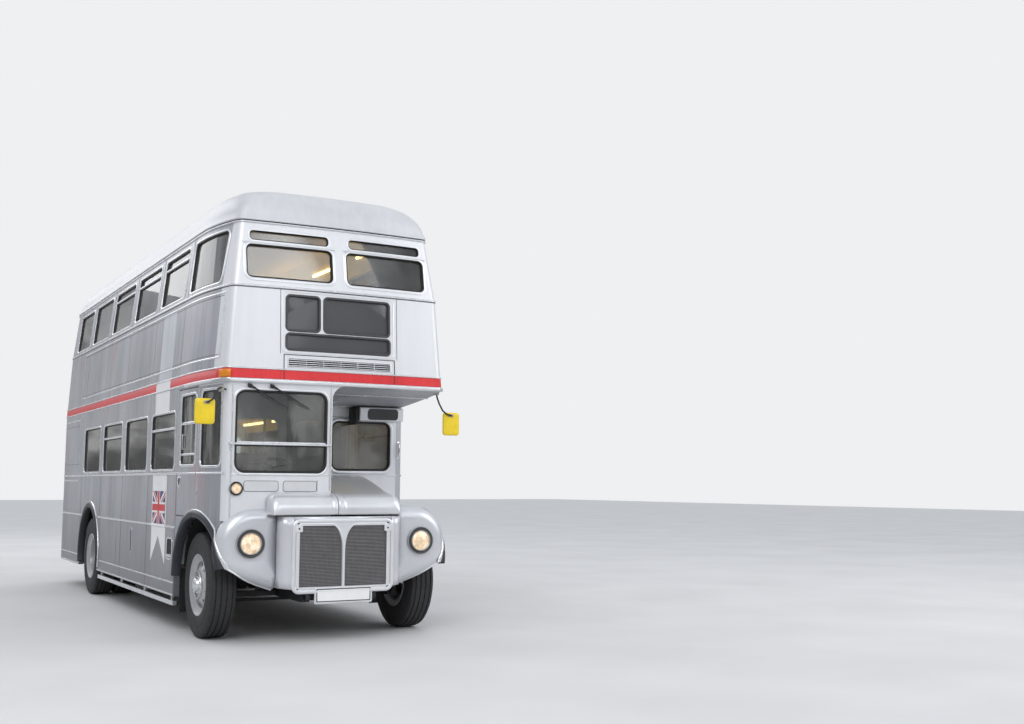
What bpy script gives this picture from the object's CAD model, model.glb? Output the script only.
"""Looks of the half-cab double decker bus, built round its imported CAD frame. Metres, row frame."""
import math

import bpy
import bmesh
from mathutils import Matrix, Vector


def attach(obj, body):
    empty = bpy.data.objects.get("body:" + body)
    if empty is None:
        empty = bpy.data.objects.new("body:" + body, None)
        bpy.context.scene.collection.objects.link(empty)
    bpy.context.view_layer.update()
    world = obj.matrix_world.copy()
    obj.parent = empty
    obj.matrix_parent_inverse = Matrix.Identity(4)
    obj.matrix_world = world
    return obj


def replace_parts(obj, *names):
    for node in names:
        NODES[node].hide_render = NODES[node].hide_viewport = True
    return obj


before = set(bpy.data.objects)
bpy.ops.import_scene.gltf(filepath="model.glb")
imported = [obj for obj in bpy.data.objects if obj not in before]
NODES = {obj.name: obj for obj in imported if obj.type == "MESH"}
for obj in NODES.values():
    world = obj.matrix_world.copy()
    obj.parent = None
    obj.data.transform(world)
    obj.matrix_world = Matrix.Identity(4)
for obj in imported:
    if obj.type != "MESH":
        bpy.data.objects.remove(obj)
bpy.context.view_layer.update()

# Main sizes, as in the CAD source
HALF = 1.219
NOSE = -4.19
REAR = 4.17
FACE = NOSE + 0.155
AXLE_F = NOSE + 0.87
AXLE_R = AXLE_F + 5.131
BULKHEAD = FACE + 1.285
TAPER_BACK = FACE + 1.05
LOWER_DECK, UPPER_DECK = 0.66, 2.481
LOWER_RAIL, WAIST_RAIL = 1.024, 1.559
WHEEL_R, TYRE_HALF = 0.5, 0.131
CORNER_X = 1.114
CORNER_BACK = 0.043
BAND_LOW, UPPER_WAIST, GUTTER, TOP = 2.431, 3.325, 3.964, 4.38
# height, side drawn in, corner drawn in, face set back, rear set forward
LEVELS = ((BAND_LOW, 0, 0, 0, 0), (UPPER_WAIST, 0.047, 0.063, 0.049, 0.018), (GUTTER, 0.115, 0.143, 0.161, 0.070))


# Materials
def material(name, color, rough=0.5, metal=0.0, **more):
    m = bpy.data.materials.new(name)
    m.use_nodes = True
    b = m.node_tree.nodes["Principled BSDF"]
    b.inputs["Base Color"].default_value = (*color, 1)
    b.inputs["Roughness"].default_value = rough
    b.inputs["Metallic"].default_value = metal
    for key, value in more.items():
        b.inputs[key.replace("_", " ")].default_value = value
    return m


def node(m, kind, **inputs):
    n = m.node_tree.nodes.new(kind)
    for key, value in inputs.items():
        if key in n.inputs:
            n.inputs[key].default_value = value
        else:
            setattr(n, key, value)
    return n


def ramp(m, fac, stops):
    n = m.node_tree.nodes.new("ShaderNodeValToRGB")
    n.color_ramp.elements[0].position, n.color_ramp.elements[0].color = stops[0][0], (*stops[0][1], 1)
    n.color_ramp.elements[1].position, n.color_ramp.elements[1].color = stops[-1][0], (*stops[-1][1], 1)
    for position, color in stops[1:-1]:
        n.color_ramp.elements.new(position).color = (*color, 1)
    m.node_tree.links.new(fac, n.inputs["Fac"])
    return n.outputs["Color"]


def link(m, a, b):
    m.node_tree.links.new(a, b)


def put(m, value, socket):
    """Gives a socket a number, a colour or another node's output."""
    if isinstance(value, (int, float)):
        socket.default_value = value
    elif isinstance(value, tuple):
        socket.default_value = (*value, 1)
    else:
        link(m, value, socket)


def remap(m, value, low, high, to_low=0.0, to_high=1.0, **more):
    n = node(m, "ShaderNodeMapRange", **more)
    for socket, number in (("From Min", low), ("From Max", high), ("To Min", to_low), ("To Max", to_high)):
        n.inputs[socket].default_value = number
    link(m, value, n.inputs["Value"])
    return n.outputs["Result"]


def scaled(m, value, factor, plus=None):
    n = node(m, "ShaderNodeMath", operation="MULTIPLY" if plus is None else "MULTIPLY_ADD")
    link(m, value, n.inputs[0])
    n.inputs[1].default_value = factor
    if plus is not None:
        put(m, plus, n.inputs[2])
    return n.outputs[0]


def mixed(m, share, first, second):
    """First colour with a share of the second."""
    n = node(m, "ShaderNodeMix", data_type="RGBA")
    for value, socket in ((share, "Factor"), (first, 6), (second, 7)):
        put(m, value, n.inputs[socket])
    return n.outputs[2]


def shader(m):
    return m.node_tree.nodes["Principled BSDF"]


def noisy(m, scale, detail=4, rough=0.6, stretch=(1, 1, 1)):
    """Noise over the object's own coordinates, stretched along some axes."""
    coords = node(m, "ShaderNodeTexCoord")
    mapping = node(m, "ShaderNodeMapping")
    mapping.inputs["Scale"].default_value = stretch
    link(m, coords.outputs["Object"], mapping.inputs["Vector"])
    n = node(m, "ShaderNodeTexNoise", Scale=scale, Detail=detail, Roughness=rough)
    link(m, mapping.outputs["Vector"], n.inputs["Vector"])
    return n.outputs["Fac"]


def bump(m, height, strength=0.1, distance=0.002):
    n = node(m, "ShaderNodeBump", Strength=strength, Distance=distance)
    link(m, height, n.inputs["Height"])
    link(m, n.outputs["Normal"], shader(m).inputs["Normal"])


def road_grime(m, color, shade):
    """Dirt thrown up by the wheels: strongest at the skirt, gone below the lower windows, with an uneven upper edge."""
    split = node(m, "ShaderNodeSeparateXYZ")
    link(m, node(m, "ShaderNodeTexCoord").outputs["Object"], split.inputs[0])
    edge = scaled(m, noisy(m, 1.3, 5, 0.6), -0.7, split.outputs["Z"])
    return mixed(m, remap(m, edge, 0.0, 1.25, 0.75, 0.0, interpolation_type="SMOOTHSTEP"), color, shade)


def aged_silver(name, low, high, rough=(0.3, 0.5), metal=0.55, tint=None, grime=None):
    """Weathered paint: long upright streaks over soft patches, with a tint that comes and goes."""
    m = material(name, high, metal=metal)
    wide = noisy(m, 2.1, 5, 0.6, (1, 1, 0.13))
    fine = noisy(m, 17.0, 4, 0.65, (1, 1, 0.045))
    soft = noisy(m, 1.6, 3, 0.5)
    streaks = scaled(m, wide, 0.55, scaled(m, fine, 0.30, scaled(m, soft, 0.15)))
    color = ramp(m, streaks, ((0.38, low), (0.58, high)))
    for shade, scale, start, share in zip(tint or (), (1.9, 2.6), (0.53, 0.55), (0.55, 0.5)):
        patch = remap(m, noisy(m, scale, 6, 0.7, (1, 1, 0.6)), start, start + 0.16, 0.0, share)
        color = mixed(m, patch, color, shade)
    if tint:
        scuff = remap(m, noisy(m, 24.0, 5, 0.75, (1, 0.8, 0.5)), 0.66, 0.72, 0.0, 0.5)
        color = mixed(m, scuff, color, (0.72, 0.73, 0.76))
    if grime:
        color = road_grime(m, color, grime)
    link(m, color, shader(m).inputs["Base Color"])
    link(m, remap(m, wide, 0.0, 1.0, *rough), shader(m).inputs["Roughness"])
    bump(m, noisy(m, 1.1, 2, 0.5), 0.25, 0.006)
    return m


def smooth_silver(name, low, high, rough, metal):
    """Well kept paint on the curved pressings: broad soft change of tone, faint orange peel."""
    m = material(name, high, metal=metal)
    link(m, ramp(m, noisy(m, 1.7, 4, 0.55), ((0.38, low), (0.62, high))), shader(m).inputs["Base Color"])
    link(m, remap(m, noisy(m, 6.0, 5, 0.6), 0.0, 1.0, *rough), shader(m).inputs["Roughness"])
    bump(m, noisy(m, 140, 2, 0.5), 0.04, 0.0006)
    return m


SILVER = aged_silver("silver_side", (0.34, 0.35, 0.38), (0.52, 0.53, 0.56), (0.30, 0.46), 0.6,
                     ((0.50, 0.33, 0.36), (0.33, 0.41, 0.52)), (0.155, 0.155, 0.175))
FRONT_SILVER = aged_silver("silver_front", (0.68, 0.69, 0.71), (0.74, 0.75, 0.77), (0.34, 0.46), 0.3)
WING_SILVER = smooth_silver("silver_wing", (0.60, 0.61, 0.64), (0.67, 0.68, 0.71), (0.27, 0.36), 0.5)
ROOF = aged_silver("roof_silver", (0.56, 0.57, 0.59), (0.64, 0.65, 0.67), (0.35, 0.5), 0.3)
TRIM = material("bright_trim", (0.72, 0.73, 0.75), 0.25, 0.9)
RED = aged_silver("band_red", (0.55, 0.02, 0.025), (0.72, 0.03, 0.035), (0.3, 0.45), 0.0)
WHITE = material("ribbon_white", (0.82, 0.82, 0.83), 0.4)
FLAG_BLUE = material("flag_blue", (0.012, 0.02, 0.16), 0.4)
FLAG_RED = material("flag_red", (0.62, 0.012, 0.02), 0.4)
AMBER = material("amber_lens", (0.9, 0.28, 0.01), 0.2, Transmission_Weight=0.2)
BLACK = material("black_rubber", (0.012, 0.012, 0.013), 0.55)
DARK = material("dark_inside", (0.02, 0.02, 0.021), 0.8)
IRON = material("dark_iron", (0.03, 0.03, 0.032), 0.6, 0.3)
CHROME = material("chrome", (0.8, 0.8, 0.82), 0.12, 1.0)
YELLOW = material("mirror_yellow", (0.85, 0.62, 0.02), 0.35)
MIRROR = material("mirror_glass", (0.85, 0.87, 0.88), 0.03, 1.0)
BLIND = material("blank_blind", (0.05, 0.052, 0.055), 0.3, Coat_Weight=0.4)
CREAM = material("cream_ceiling", (0.72, 0.62, 0.32), 0.5)
SUNNY = material("yellow_ceiling", (0.75, 0.52, 0.16), 0.5, Emission_Color=(0.8, 0.52, 0.14, 1), Emission_Strength=0.25)
FLOOR = material("ribbed_floor", (0.12, 0.09, 0.07), 0.7)
MOQUETTE = material("seat_cloth", (0.25, 0.045, 0.04), 0.9)
LEATHER = material("seat_leather", (0.12, 0.02, 0.02), 0.45)
RAIL = material("white_rail", (0.75, 0.74, 0.68), 0.3)
RIM = smooth_silver("rim_paint", (0.36, 0.36, 0.37), (0.52, 0.52, 0.53), (0.3, 0.45), 0.45)
TYRE = material("tyre_rubber", (0.03, 0.03, 0.031), 0.75)
bump(TYRE, noisy(TYRE, 60, 3), 0.15, 0.001)
MESH = material("grille_mesh", (0.24, 0.235, 0.24), 0.45, 0.6)
PLATE = material("plate_white", (0.84, 0.84, 0.83), 0.35)
WARM = material("lamp_warm", (1.0, 0.72, 0.38), 0.15, Emission_Color=(1.0, 0.68, 0.36, 1), Emission_Strength=0.55)


def mixed_shader(m, share, first, second):
    n = node(m, "ShaderNodeMixShader")
    for value, socket in ((share, "Fac"), (first, 1), (second, 2)):
        link(m, value, n.inputs[socket])
    return n.outputs["Shader"]


def glass(name, tint, shine):
    """Thin dusty pane: clear straight through, with a mirror share that grows at grazing angles."""
    m = bpy.data.materials.new(name)
    m.use_nodes = True
    m.node_tree.nodes.clear()
    clear = node(m, "ShaderNodeBsdfTransparent", Color=(*tint, 1))
    gloss = node(m, "ShaderNodeBsdfGlossy", Roughness=0.02)
    fresnel = node(m, "ShaderNodeFresnel", IOR=shine)
    dust = node(m, "ShaderNodeBsdfDiffuse", Color=(0.80, 0.79, 0.77, 1))
    pane = mixed_shader(m, fresnel.outputs["Fac"], clear.outputs["BSDF"], gloss.outputs["BSDF"])
    patches = remap(m, noisy(m, 2.3, 6, 0.7), 0.3, 0.7, *DUST)
    out = node(m, "ShaderNodeOutputMaterial")
    link(m, mixed_shader(m, patches, pane, dust.outputs["BSDF"]), out.inputs["Surface"])
    return m


DUST = (0.02, 0.075)
GLASS = glass("window_glass", (0.90, 0.92, 0.91), 1.9)
UNDERSEAL = material("underseal", (0.018, 0.018, 0.019), 0.85)


def paint(m, *names):
    for name in names:
        mesh = NODES[name].data
        mesh.materials.clear()
        mesh.materials.append(m)


# Mesh helpers
def add_mesh(name, verts, faces, mat, body="bus_body", smooth=True, angle=35):
    mesh = bpy.data.meshes.new(name)
    mesh.from_pydata([tuple(v) for v in verts], [], faces)
    mesh.validate()
    mesh.materials.append(mat)
    obj = bpy.data.objects.new(name, mesh)
    bpy.context.scene.collection.objects.link(obj)
    if smooth:
        mesh.polygons.foreach_set("use_smooth", [True] * len(mesh.polygons))
        mesh.set_sharp_from_angle(angle=math.radians(angle))
    if body:
        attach(obj, body)
    return obj


def recalc(obj):
    bm = bmesh.new()
    bm.from_mesh(obj.data)
    bmesh.ops.remove_doubles(bm, verts=bm.verts, dist=1e-5)
    bmesh.ops.recalc_face_normals(bm, faces=bm.faces)
    bm.to_mesh(obj.data)
    bm.free()
    return obj


class Kit:
    """Gathers shapes into one mesh piece."""

    def __init__(self):
        self.verts, self.faces = [], []

    def add(self, verts, faces):
        base = len(self.verts)
        self.verts += [tuple(v) for v in verts]
        self.faces += [tuple(base + i for i in f) for f in faces]

    def grid(self, rows, wrap=False, close=False, flip=False, first=False, last=False):
        """Quads between neighbouring rows of points. wrap joins the ends of each row, close joins the last row
        to the first, flip turns the quads over, first and last cap the end rows."""
        count, n = len(rows), len(rows[0])
        faces = []
        for k in range(count if close else count - 1):
            a, b = k * n, (k + 1) % count * n
            for i in range(n if wrap else n - 1):
                j = (i + 1) % n
                faces.append((a + i, b + i, b + j, a + j) if flip else (a + i, a + j, b + j, b + i))
        faces += [tuple(range(n))[::-1]] * first + [tuple((count - 1) * n + i for i in range(n))] * last
        self.add([p for row in rows for p in row], faces)

    def box(self, lo, hi, bevel=0.0):
        """Box with chamfered edges."""
        lo, hi = Vector(lo), Vector(hi)
        bm = bmesh.new()
        bmesh.ops.create_cube(bm, size=1)
        for v in bm.verts:
            v.co = Vector((lo[i] + (v.co[i] + 0.5) * (hi[i] - lo[i]) for i in range(3)))
        if bevel:
            bmesh.ops.bevel(bm, geom=bm.edges[:], offset=bevel, segments=2, affect="EDGES", profile=0.5)
        bm.verts.ensure_lookup_table()
        bm.verts.index_update()
        self.add([v.co for v in bm.verts], [[v.index for v in f.verts] for f in bm.faces])
        bm.free()

    def prism(self, outline, place, depth):
        """Outline in a plane's own x and y, pushed depth along its z. place is a 4x4 matrix."""
        self.grid([[place @ Vector((x, y, z)) for x, y in outline] for z in (0, depth)], True, first=True, last=True)

    def ring(self, outer, inner, place, depth):
        """Flat frame between two outlines with the same number of points, pushed along z."""
        count = len(outer)
        verts = [Vector((x, y, z)) for z in (0, depth) for loop in (outer, inner) for x, y in loop]
        faces = []
        for i in range(count):
            j = (i + 1) % count
            o0, i0, o1, i1 = 0, count, 2 * count, 3 * count
            faces += [(o0 + j, o0 + i, i0 + i, i0 + j), (o1 + i, o1 + j, i1 + j, i1 + i),
                      (o0 + i, o0 + j, o1 + j, o1 + i), (i0 + j, i0 + i, i1 + i, i1 + j)]
        self.add([place @ v for v in verts], faces)

    def tube(self, points, radius, sides=12, closed=False):
        """Round bar along points."""
        points = [Vector(p) for p in points]
        rings, up = [], None
        count = len(points)
        for k, p in enumerate(points):
            if closed:
                t = (points[(k + 1) % count] - points[k - 1]).normalized()
            else:
                t = (points[min(k + 1, count - 1)] - points[max(k - 1, 0)]).normalized()
            if up is None:
                up = Vector((0, 0, 1)) if abs(t.z) < 0.9 else Vector((1, 0, 0))
            side = t.cross(up).normalized()
            up = side.cross(t).normalized()
            rings.append([p + radius * (math.cos(a) * side + math.sin(a) * up)
                          for a in (2 * math.pi * i / sides for i in range(sides))])
        self.grid(rings, True, closed, first=not closed, last=not closed)

    def lathe(self, profile, place, sides=48):
        """Profile of (radius, height) turned about the plane's z."""
        turns = (2 * math.pi * i / sides for i in range(sides))
        self.grid([[place @ Vector((r * math.cos(a), r * math.sin(a), h)) for r, h in profile] for a in turns],
                  close=True, flip=True)

    def sweep(self, path, profile, closed=False):
        """Profile of (outwards, up) carried along a level path of (point, outward direction)."""
        self.grid([[p + out * a + Vector((0, 0, 1)) * b for a, b in profile] for p, out in path],
                  True, closed, True, not closed, not closed)

    def piece(self, name, mat, body="bus_body", smooth=True, angle=35, slot=None):
        obj = recalc(add_mesh(name, self.verts, self.faces, mat, body, smooth, angle))
        return obj


def rounded(x0, x1, y0, y1, radius, steps=6):
    """Rounded rectangle outline, anticlockwise."""
    radius = min(radius, (x1 - x0) / 2, (y1 - y0) / 2)
    out = []
    for cx, cy, start in ((x1 - radius, y1 - radius, 0), (x0 + radius, y1 - radius, 90),
                          (x0 + radius, y0 + radius, 180), (x1 - radius, y0 + radius, 270)):
        for i in range(steps + 1):
            a = math.radians(start + 90 * i / steps)
            out.append((cx + radius * math.cos(a), cy + radius * math.sin(a)))
    return out


def ahead(origin):
    """Place that faces forwards, with x to the nearside and y up."""
    return plane(origin, (1, 0, 0), (0, 0, 1))


def plane(origin, x, y):
    """4x4 place with local x and y given, z by the right hand."""
    x, y = Vector(x).normalized(), Vector(y).normalized()
    z = x.cross(y)
    m = Matrix((x, y, z)).transposed().to_4x4()
    m.translation = Vector(origin)
    return m


# Plan outline of the body, as in the CAD source
def level_at(z):
    if z <= LEVELS[0][0]:
        return LEVELS[0]
    for low, high in zip(LEVELS, LEVELS[1:]):
        if z <= high[0]:
            s = (z - low[0]) / (high[0] - low[0])
            return tuple(a + (b - a) * s for a, b in zip(low, high))
    return LEVELS[-1]


def arc(a, b, c, steps):
    """Points of the circle through a, b and c, from a to c."""
    a, b, c = (Vector(p) for p in (a, b, c))
    d = 2 * (a.x * (b.y - c.y) + b.x * (c.y - a.y) + c.x * (a.y - b.y))
    ux = (a.length_squared * (b.y - c.y) + b.length_squared * (c.y - a.y) + c.length_squared * (a.y - b.y)) / d
    uy = (a.length_squared * (c.x - b.x) + b.length_squared * (a.x - c.x) + c.length_squared * (b.x - a.x)) / d
    o = Vector((ux, uy))
    start, mid, end = (math.atan2(p.y - uy, p.x - ux) for p in (a, b, c))
    turn = (end - start) % (2 * math.pi)
    if (mid - start) % (2 * math.pi) > turn:
        turn -= 2 * math.pi
    r = (a - o).length
    return [o + r * Vector((math.cos(start + turn * i / steps), math.sin(start + turn * i / steps)))
            for i in range(steps + 1)]


def round_corner(first, second, radius):
    """Joins two runs of points that meet at a corner by an arc of about that radius."""
    corner = first[-1]
    da, db = (first[-1] - first[-2]).normalized(), (second[1] - second[0]).normalized()
    turn = da.angle(db)
    reach = radius * math.tan(turn / 2)
    a = corner - da * reach
    b = corner + db * reach
    keep_first = [p for p in first if (p - corner).length > reach + 1e-6]
    keep_second = [p for p in second if (p - corner).length > reach + 1e-6]
    bisector = (db - da).normalized()
    centre = corner + bisector * (radius / math.cos(turn / 2))
    middle = centre - bisector * radius
    return keep_first + arc(a, middle, b, 8) + keep_second


def outline(z, grow=0.0, front_r=0.075, rear_r=0.15, level=None):
    """Closed plan outline at a height, starting at the rear offside and going forwards round the nose."""
    _, side, corner, face, rear = level or level_at(z)
    half = HALF - side + grow
    cx, cy = CORNER_X - corner + grow, FACE + CORNER_BACK + face - grow
    fy, ry = FACE + face - grow, REAR - rear + grow
    run, inset = TAPER_BACK - cy, half - cx
    bend = (run ** 2 + inset ** 2) / (2 * inset)
    turn = math.asin(run / bend)
    mid = (half - bend + bend * math.cos(turn / 2), TAPER_BACK - bend * math.sin(turn / 2))
    left = [Vector((-half, 0.0)), Vector((-half, -1.5))] + arc((-half, TAPER_BACK), (-mid[0], mid[1]), (-cx, cy), 12)
    front = arc((-cx, cy), (0, fy), (cx, cy), 24)
    right = arc((cx, cy), mid, (half, TAPER_BACK), 12) + [Vector((half, -1.5)), Vector((half, 0.0)), Vector((half, ry))]
    rear_run = [Vector((half, ry)), Vector((0.0, ry)), Vector((-half, ry))]
    back = [Vector((-half, ry)), Vector((-half, 1.5)), Vector((-half, 0.0))]
    points = round_corner(left, front, front_r + grow)
    points = round_corner(points, right, front_r + grow)
    points = round_corner(points, rear_run, rear_r + grow)
    points = round_corner(points, back, rear_r + grow)
    return points[:-1]


def outward(points):
    """Each point of a loop with its outward direction: the loop runs clockwise seen from above."""
    out = []
    for i, p in enumerate(points):
        t = (points[(i + 1) % len(points)] - points[i - 1]).normalized()
        out.append((p, Vector((t.y, -t.x))))
    return out


def body_path(z, grow=0.0, level=None):
    """Closed path for a moulding round the body: points with outward directions."""
    loop = outward(outline(z, grow, level=level))
    return [(Vector((p.x, p.y, z)), Vector((d.x, d.y, 0))) for p, d in loop]


# Surfaces of the body: each gives the point at (u, v), h outside the panel
def bow(x, corner_x):
    """How far the bowed front falls back from its middle at x."""
    r = (corner_x ** 2 + CORNER_BACK ** 2) / (2 * CORNER_BACK)
    return r - math.sqrt(r * r - min(abs(x), corner_x) ** 2)


def upper_front(u, v, h=0.0):
    _, _, corner, face, _ = level_at(v)
    return Vector((u, FACE + face + bow(u, CORNER_X - corner) - h, v))


def cab_front(u, v, h=0.0):
    return Vector((u, FACE + 0.015 + bow(u, CORNER_X - 0.018) - h, v))


def side_reach(y, z, corner_in=0.0, face_back=0.0):
    """Distance of the side panel from the middle plane."""
    _, side, corner, face, _ = level_at(z)
    half = HALF - side
    if y >= TAPER_BACK:
        return half
    run = TAPER_BACK - (FACE + CORNER_BACK + face + face_back)
    inset = half - (CORNER_X - corner - corner_in)
    bend = (run ** 2 + inset ** 2) / (2 * inset)
    return half - (bend - math.sqrt(bend ** 2 - min(TAPER_BACK - y, run) ** 2))


def side_wall(s):
    return lambda u, v, h=0.0: Vector((s * (side_reach(u, v) + h), u, v))


def cab_wall(u, v, h=0.0):
    return Vector((-(side_reach(u, v, 0.018, 0.015) + h), u, v))


def upper_back(u, v, h=0.0):
    return Vector((u, REAR - level_at(v)[4] + h, v))


def flat_front(y):
    return lambda u, v, h=0.0: Vector((u, y - h, v))


def lower_rear(u, v, h=0.0):
    return Vector((u, REAR + h, v))


def dense(loop):
    """Adds points on long straight runs, so that a loop bends with its panel."""
    out = []
    for i, p in enumerate(loop):
        q = loop[(i + 1) % len(loop)]
        n = max(1, int(math.dist(p, q) / 0.12))
        out += [(p[0] + (q[0] - p[0]) * k / n, p[1] + (q[1] - p[1]) * k / n) for k in range(n)]
    return out


def frame_on(kit, surface, rect, profile):
    """Frame round a rounded rectangle: profile of (outwards, height) pairs."""
    x0, x1, z0, z1, r = rect
    line = dense(rounded(x0, x1, z0, z1, max(r, 0.004)))
    kit.grid([[surface(*(shift_out(p, rect, d) if abs(d) > 1e-9 else p), h) for p in line] for d, h in profile], True)


def shift_out(p, rect, d):
    """Point of a rounded rectangle moved outwards by d."""
    x0, x1, z0, z1, r = rect
    r = max(r, 0.004)
    cx = min(max(p[0], x0 + r), x1 - r)
    cz = min(max(p[1], z0 + r), z1 - r)
    v = Vector((p[0] - cx, p[1] - cz))
    if v.length < 1e-9:
        return p
    v = v.normalized() * d
    return (p[0] + v.x, p[1] + v.y)


def plate_on(kit, surface, rect, h0, h1, bevel=0.003):
    """Filled rounded rectangle between two heights, with an eased edge."""
    x0, x1, z0, z1, r = rect
    r = min(max(r, 0.002), (x1 - x0) / 2, (z1 - z0) / 2)
    stations = set()
    for i in range(7):
        stations |= {x0 + r - r * math.cos(math.pi / 2 * i / 6), x1 - r + r * math.cos(math.pi / 2 * i / 6)}
    stations |= {x0 + (x1 - x0) * i / 14 for i in range(15)}
    xs = sorted(stations)
    xs = [x for i, x in enumerate(xs) if i == 0 or x - xs[i - 1] > 1e-5]

    def reach(x):
        edge = min(x - x0, x1 - x)
        return 0.0 if edge >= r else r - math.sqrt(max(r * r - (r - edge) ** 2, 0))

    rows = 5
    grid = []
    for x in xs:
        lo, hi = z0 + reach(x), z1 - reach(x)
        grid.append([(x, lo + (hi - lo) * k / rows) for k in range(rows + 1)])
    cx, cz = (x0 + x1) / 2, (z0 + z1) / 2
    sx, sz = 1 - 2 * bevel / (x1 - x0), 1 - 2 * bevel / (z1 - z0)
    verts, faces = [], []
    n = rows + 1
    for column in grid:
        verts += [surface(cx + (u - cx) * sx, cz + (v - cz) * sz, h1) for u, v in column]
    for i in range(len(grid) - 1):
        faces += [(i * n + k, (i + 1) * n + k, (i + 1) * n + k + 1, i * n + k + 1) for k in range(rows)]
    rim = [(i, 0) for i in range(len(grid))] + [(len(grid) - 1, k) for k in range(1, n)]
    rim += [(i, rows) for i in range(len(grid) - 2, -1, -1)] + [(0, k) for k in range(rows - 1, 0, -1)]
    base = len(verts)
    verts += [surface(*grid[i][k], h1 - bevel) for i, k in rim]
    verts += [surface(*grid[i][k], h0) for i, k in rim]
    m = len(rim)
    for j in range(m):
        a, b = rim[j], rim[(j + 1) % m]
        jj = (j + 1) % m
        faces.append((a[0] * n + a[1], b[0] * n + b[1], base + jj, base + j))
        faces.append((base + j, base + jj, base + m + jj, base + m + j))
    kit.add(verts, faces)


def strip_on(kit, surface, line, width, h0, h1, step=0.15):
    """Flat bar along a line of (u, v) points on a surface."""
    pts = []
    for a, b in zip(line, line[1:]):
        n = max(1, int(math.dist(a, b) / step))
        pts += [(a[0] + (b[0] - a[0]) * k / n, a[1] + (b[1] - a[1]) * k / n) for k in range(n)]
    pts.append(line[-1])
    e = min(0.3 * width, abs(h1 - h0) * 0.5)
    rows = []
    for i, p in enumerate(pts):
        q0, q1 = pts[max(i - 1, 0)], pts[min(i + 1, len(pts) - 1)]
        t = Vector((q1[0] - q0[0], q1[1] - q0[1])).normalized()
        rows.append([surface(p[0] - t.y * a, p[1] + t.x * a, h) for a, h in (
            (width / 2, h0), (width / 2, h1 - e * 0.7), (width / 2 - e, h1),
            (e - width / 2, h1), (-width / 2, h1 - e * 0.7), (-width / 2, h0))])
    kit.grid(rows, True, first=True, last=True)


# Window tables, as in the CAD source: ends along the bus
LOWER_FIRST = FACE + 1.415
LOWER_WINDOWS = [(LOWER_FIRST, LOWER_FIRST + 1.05)] + [
    (LOWER_FIRST + 1.235 + n * 1.345, LOWER_FIRST + 1.235 + n * 1.345 + 1.15) for n in range(3)]
UPPER_WINDOWS = [(FACE + a, FACE + b) for a, b in (
    (0.33, 1.24), (1.415, 2.465), (2.65, 3.8), (3.995, 5.145), (5.34, 6.49), (6.685, 7.7))]
SIDES = {"offside": -1, "nearside": 1}
RIBBON = (FACE + 1.70, FACE + 2.32)


# Mouldings that run round the body
def rail_run(z, profile, name, mat=TRIM):
    kit = Kit()
    kit.sweep(body_path(z), profile, closed=True)
    kit.piece(name, mat, angle=50)


def moulding(width, depth):
    """Bead section of a height and a depth, let 4 mm into the panel."""
    return [(-0.004, -width / 2), (depth * 0.5, -width / 2), (depth * 0.9, -width * 0.28), (depth, 0),
            (depth * 0.9, width * 0.28), (depth * 0.5, width / 2), (-0.004, width / 2)]


rail_run(BAND_LOW + 0.004, moulding(0.016, 0.012), "band_lower_bead")
rail_run(BAND_LOW + 0.107, moulding(0.016, 0.012), "band_upper_bead")
rail_run(UPPER_WAIST, moulding(0.022, 0.012), "upper_waist_bead")
rail_run(UPPER_WAIST - 0.0135, [(-0.004, -0.003), (0.004, -0.003), (0.004, 0.002), (-0.004, 0.002)],
         "upper_waist_shadow", mat=BLACK)
rail_run(GUTTER - 0.004, moulding(0.018, 0.016), "gutter_bead")
rail_run(GUTTER + 0.008, [(-0.004, -0.008), (0.008, -0.008), (0.010, 0.005), (-0.004, 0.005)],
         "gutter_line", mat=BLACK)


def band_kit(z0, z1, h, keep):
    """Thin strip that follows the body between two heights where keep(x, y) allows."""
    kit = Kit()
    low, high = body_path(z0, h, level=level_at(z0)), body_path(z1, h, level=level_at(z1))
    n = len(low)
    for i in range(n):
        j = (i + 1) % n
        mid = (low[i][0] + low[j][0]) / 2
        if keep(mid.x, mid.y):
            kit.add([low[i][0], low[j][0], high[j][0], high[i][0]], [(0, 1, 2, 3)])
    return kit


RED_BAND = (BAND_LOW + 0.011, BAND_LOW + 0.099)


def red_band():
    """The band runs all round, broken by the white ribbon on the offside."""
    for name, keep in (("red_band_front", lambda x, y: y < FACE + 0.16),
                       ("red_band_rear", lambda x, y: y > REAR - 0.16)):
        kit = band_kit(*RED_BAND, 0.0025, keep)
        kit.piece(name, RED)
    for label, s in SIDES.items():
        wall = side_wall(s)
        ends = [(FACE + 0.155, RIBBON[0]), (RIBBON[1], REAR - 0.155)] if s < 0 else [(FACE + 0.155, REAR - 0.155)]
        for n, (a, b) in enumerate(ends):
            kit = Kit()
            mid = (RED_BAND[0] + RED_BAND[1]) / 2
            strip_on(kit, wall, [(a, mid), (b, mid)], RED_BAND[1] - RED_BAND[0], -0.002, 0.0025, 0.06)
            kit.piece(f"red_band_{label}_{n}", RED)


red_band()

# Deeper red blocks at the two ends of the front band
kit = Kit()
for x0, x1 in ((-1.075, -0.60), (0.60, 1.085)):
    plate_on(kit, upper_front, (x0, x1, RED_BAND[0] + 0.003, RED_BAND[1] - 0.003, 0.004), 0.0, 0.006, 0.0015)
kit.piece("front_band_blocks", RED)


def window_frames(kits, surface, rect, proud=0.007, lip=0.016):
    """Pale pan round a pane, with its dark rubber inside it."""
    frame_on(kits[0], surface, rect, [(lip, -0.002), (lip - 0.003, proud * 0.7), (lip - 0.008, proud),
                                      (-0.002, proud), (-0.008, proud * 0.4), (-0.010, -0.012)])
    frame_on(kits[1], surface, rect, [(-0.009, -0.006), (-0.012, -0.003), (-0.019, -0.006), (-0.022, -0.0215)])


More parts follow.
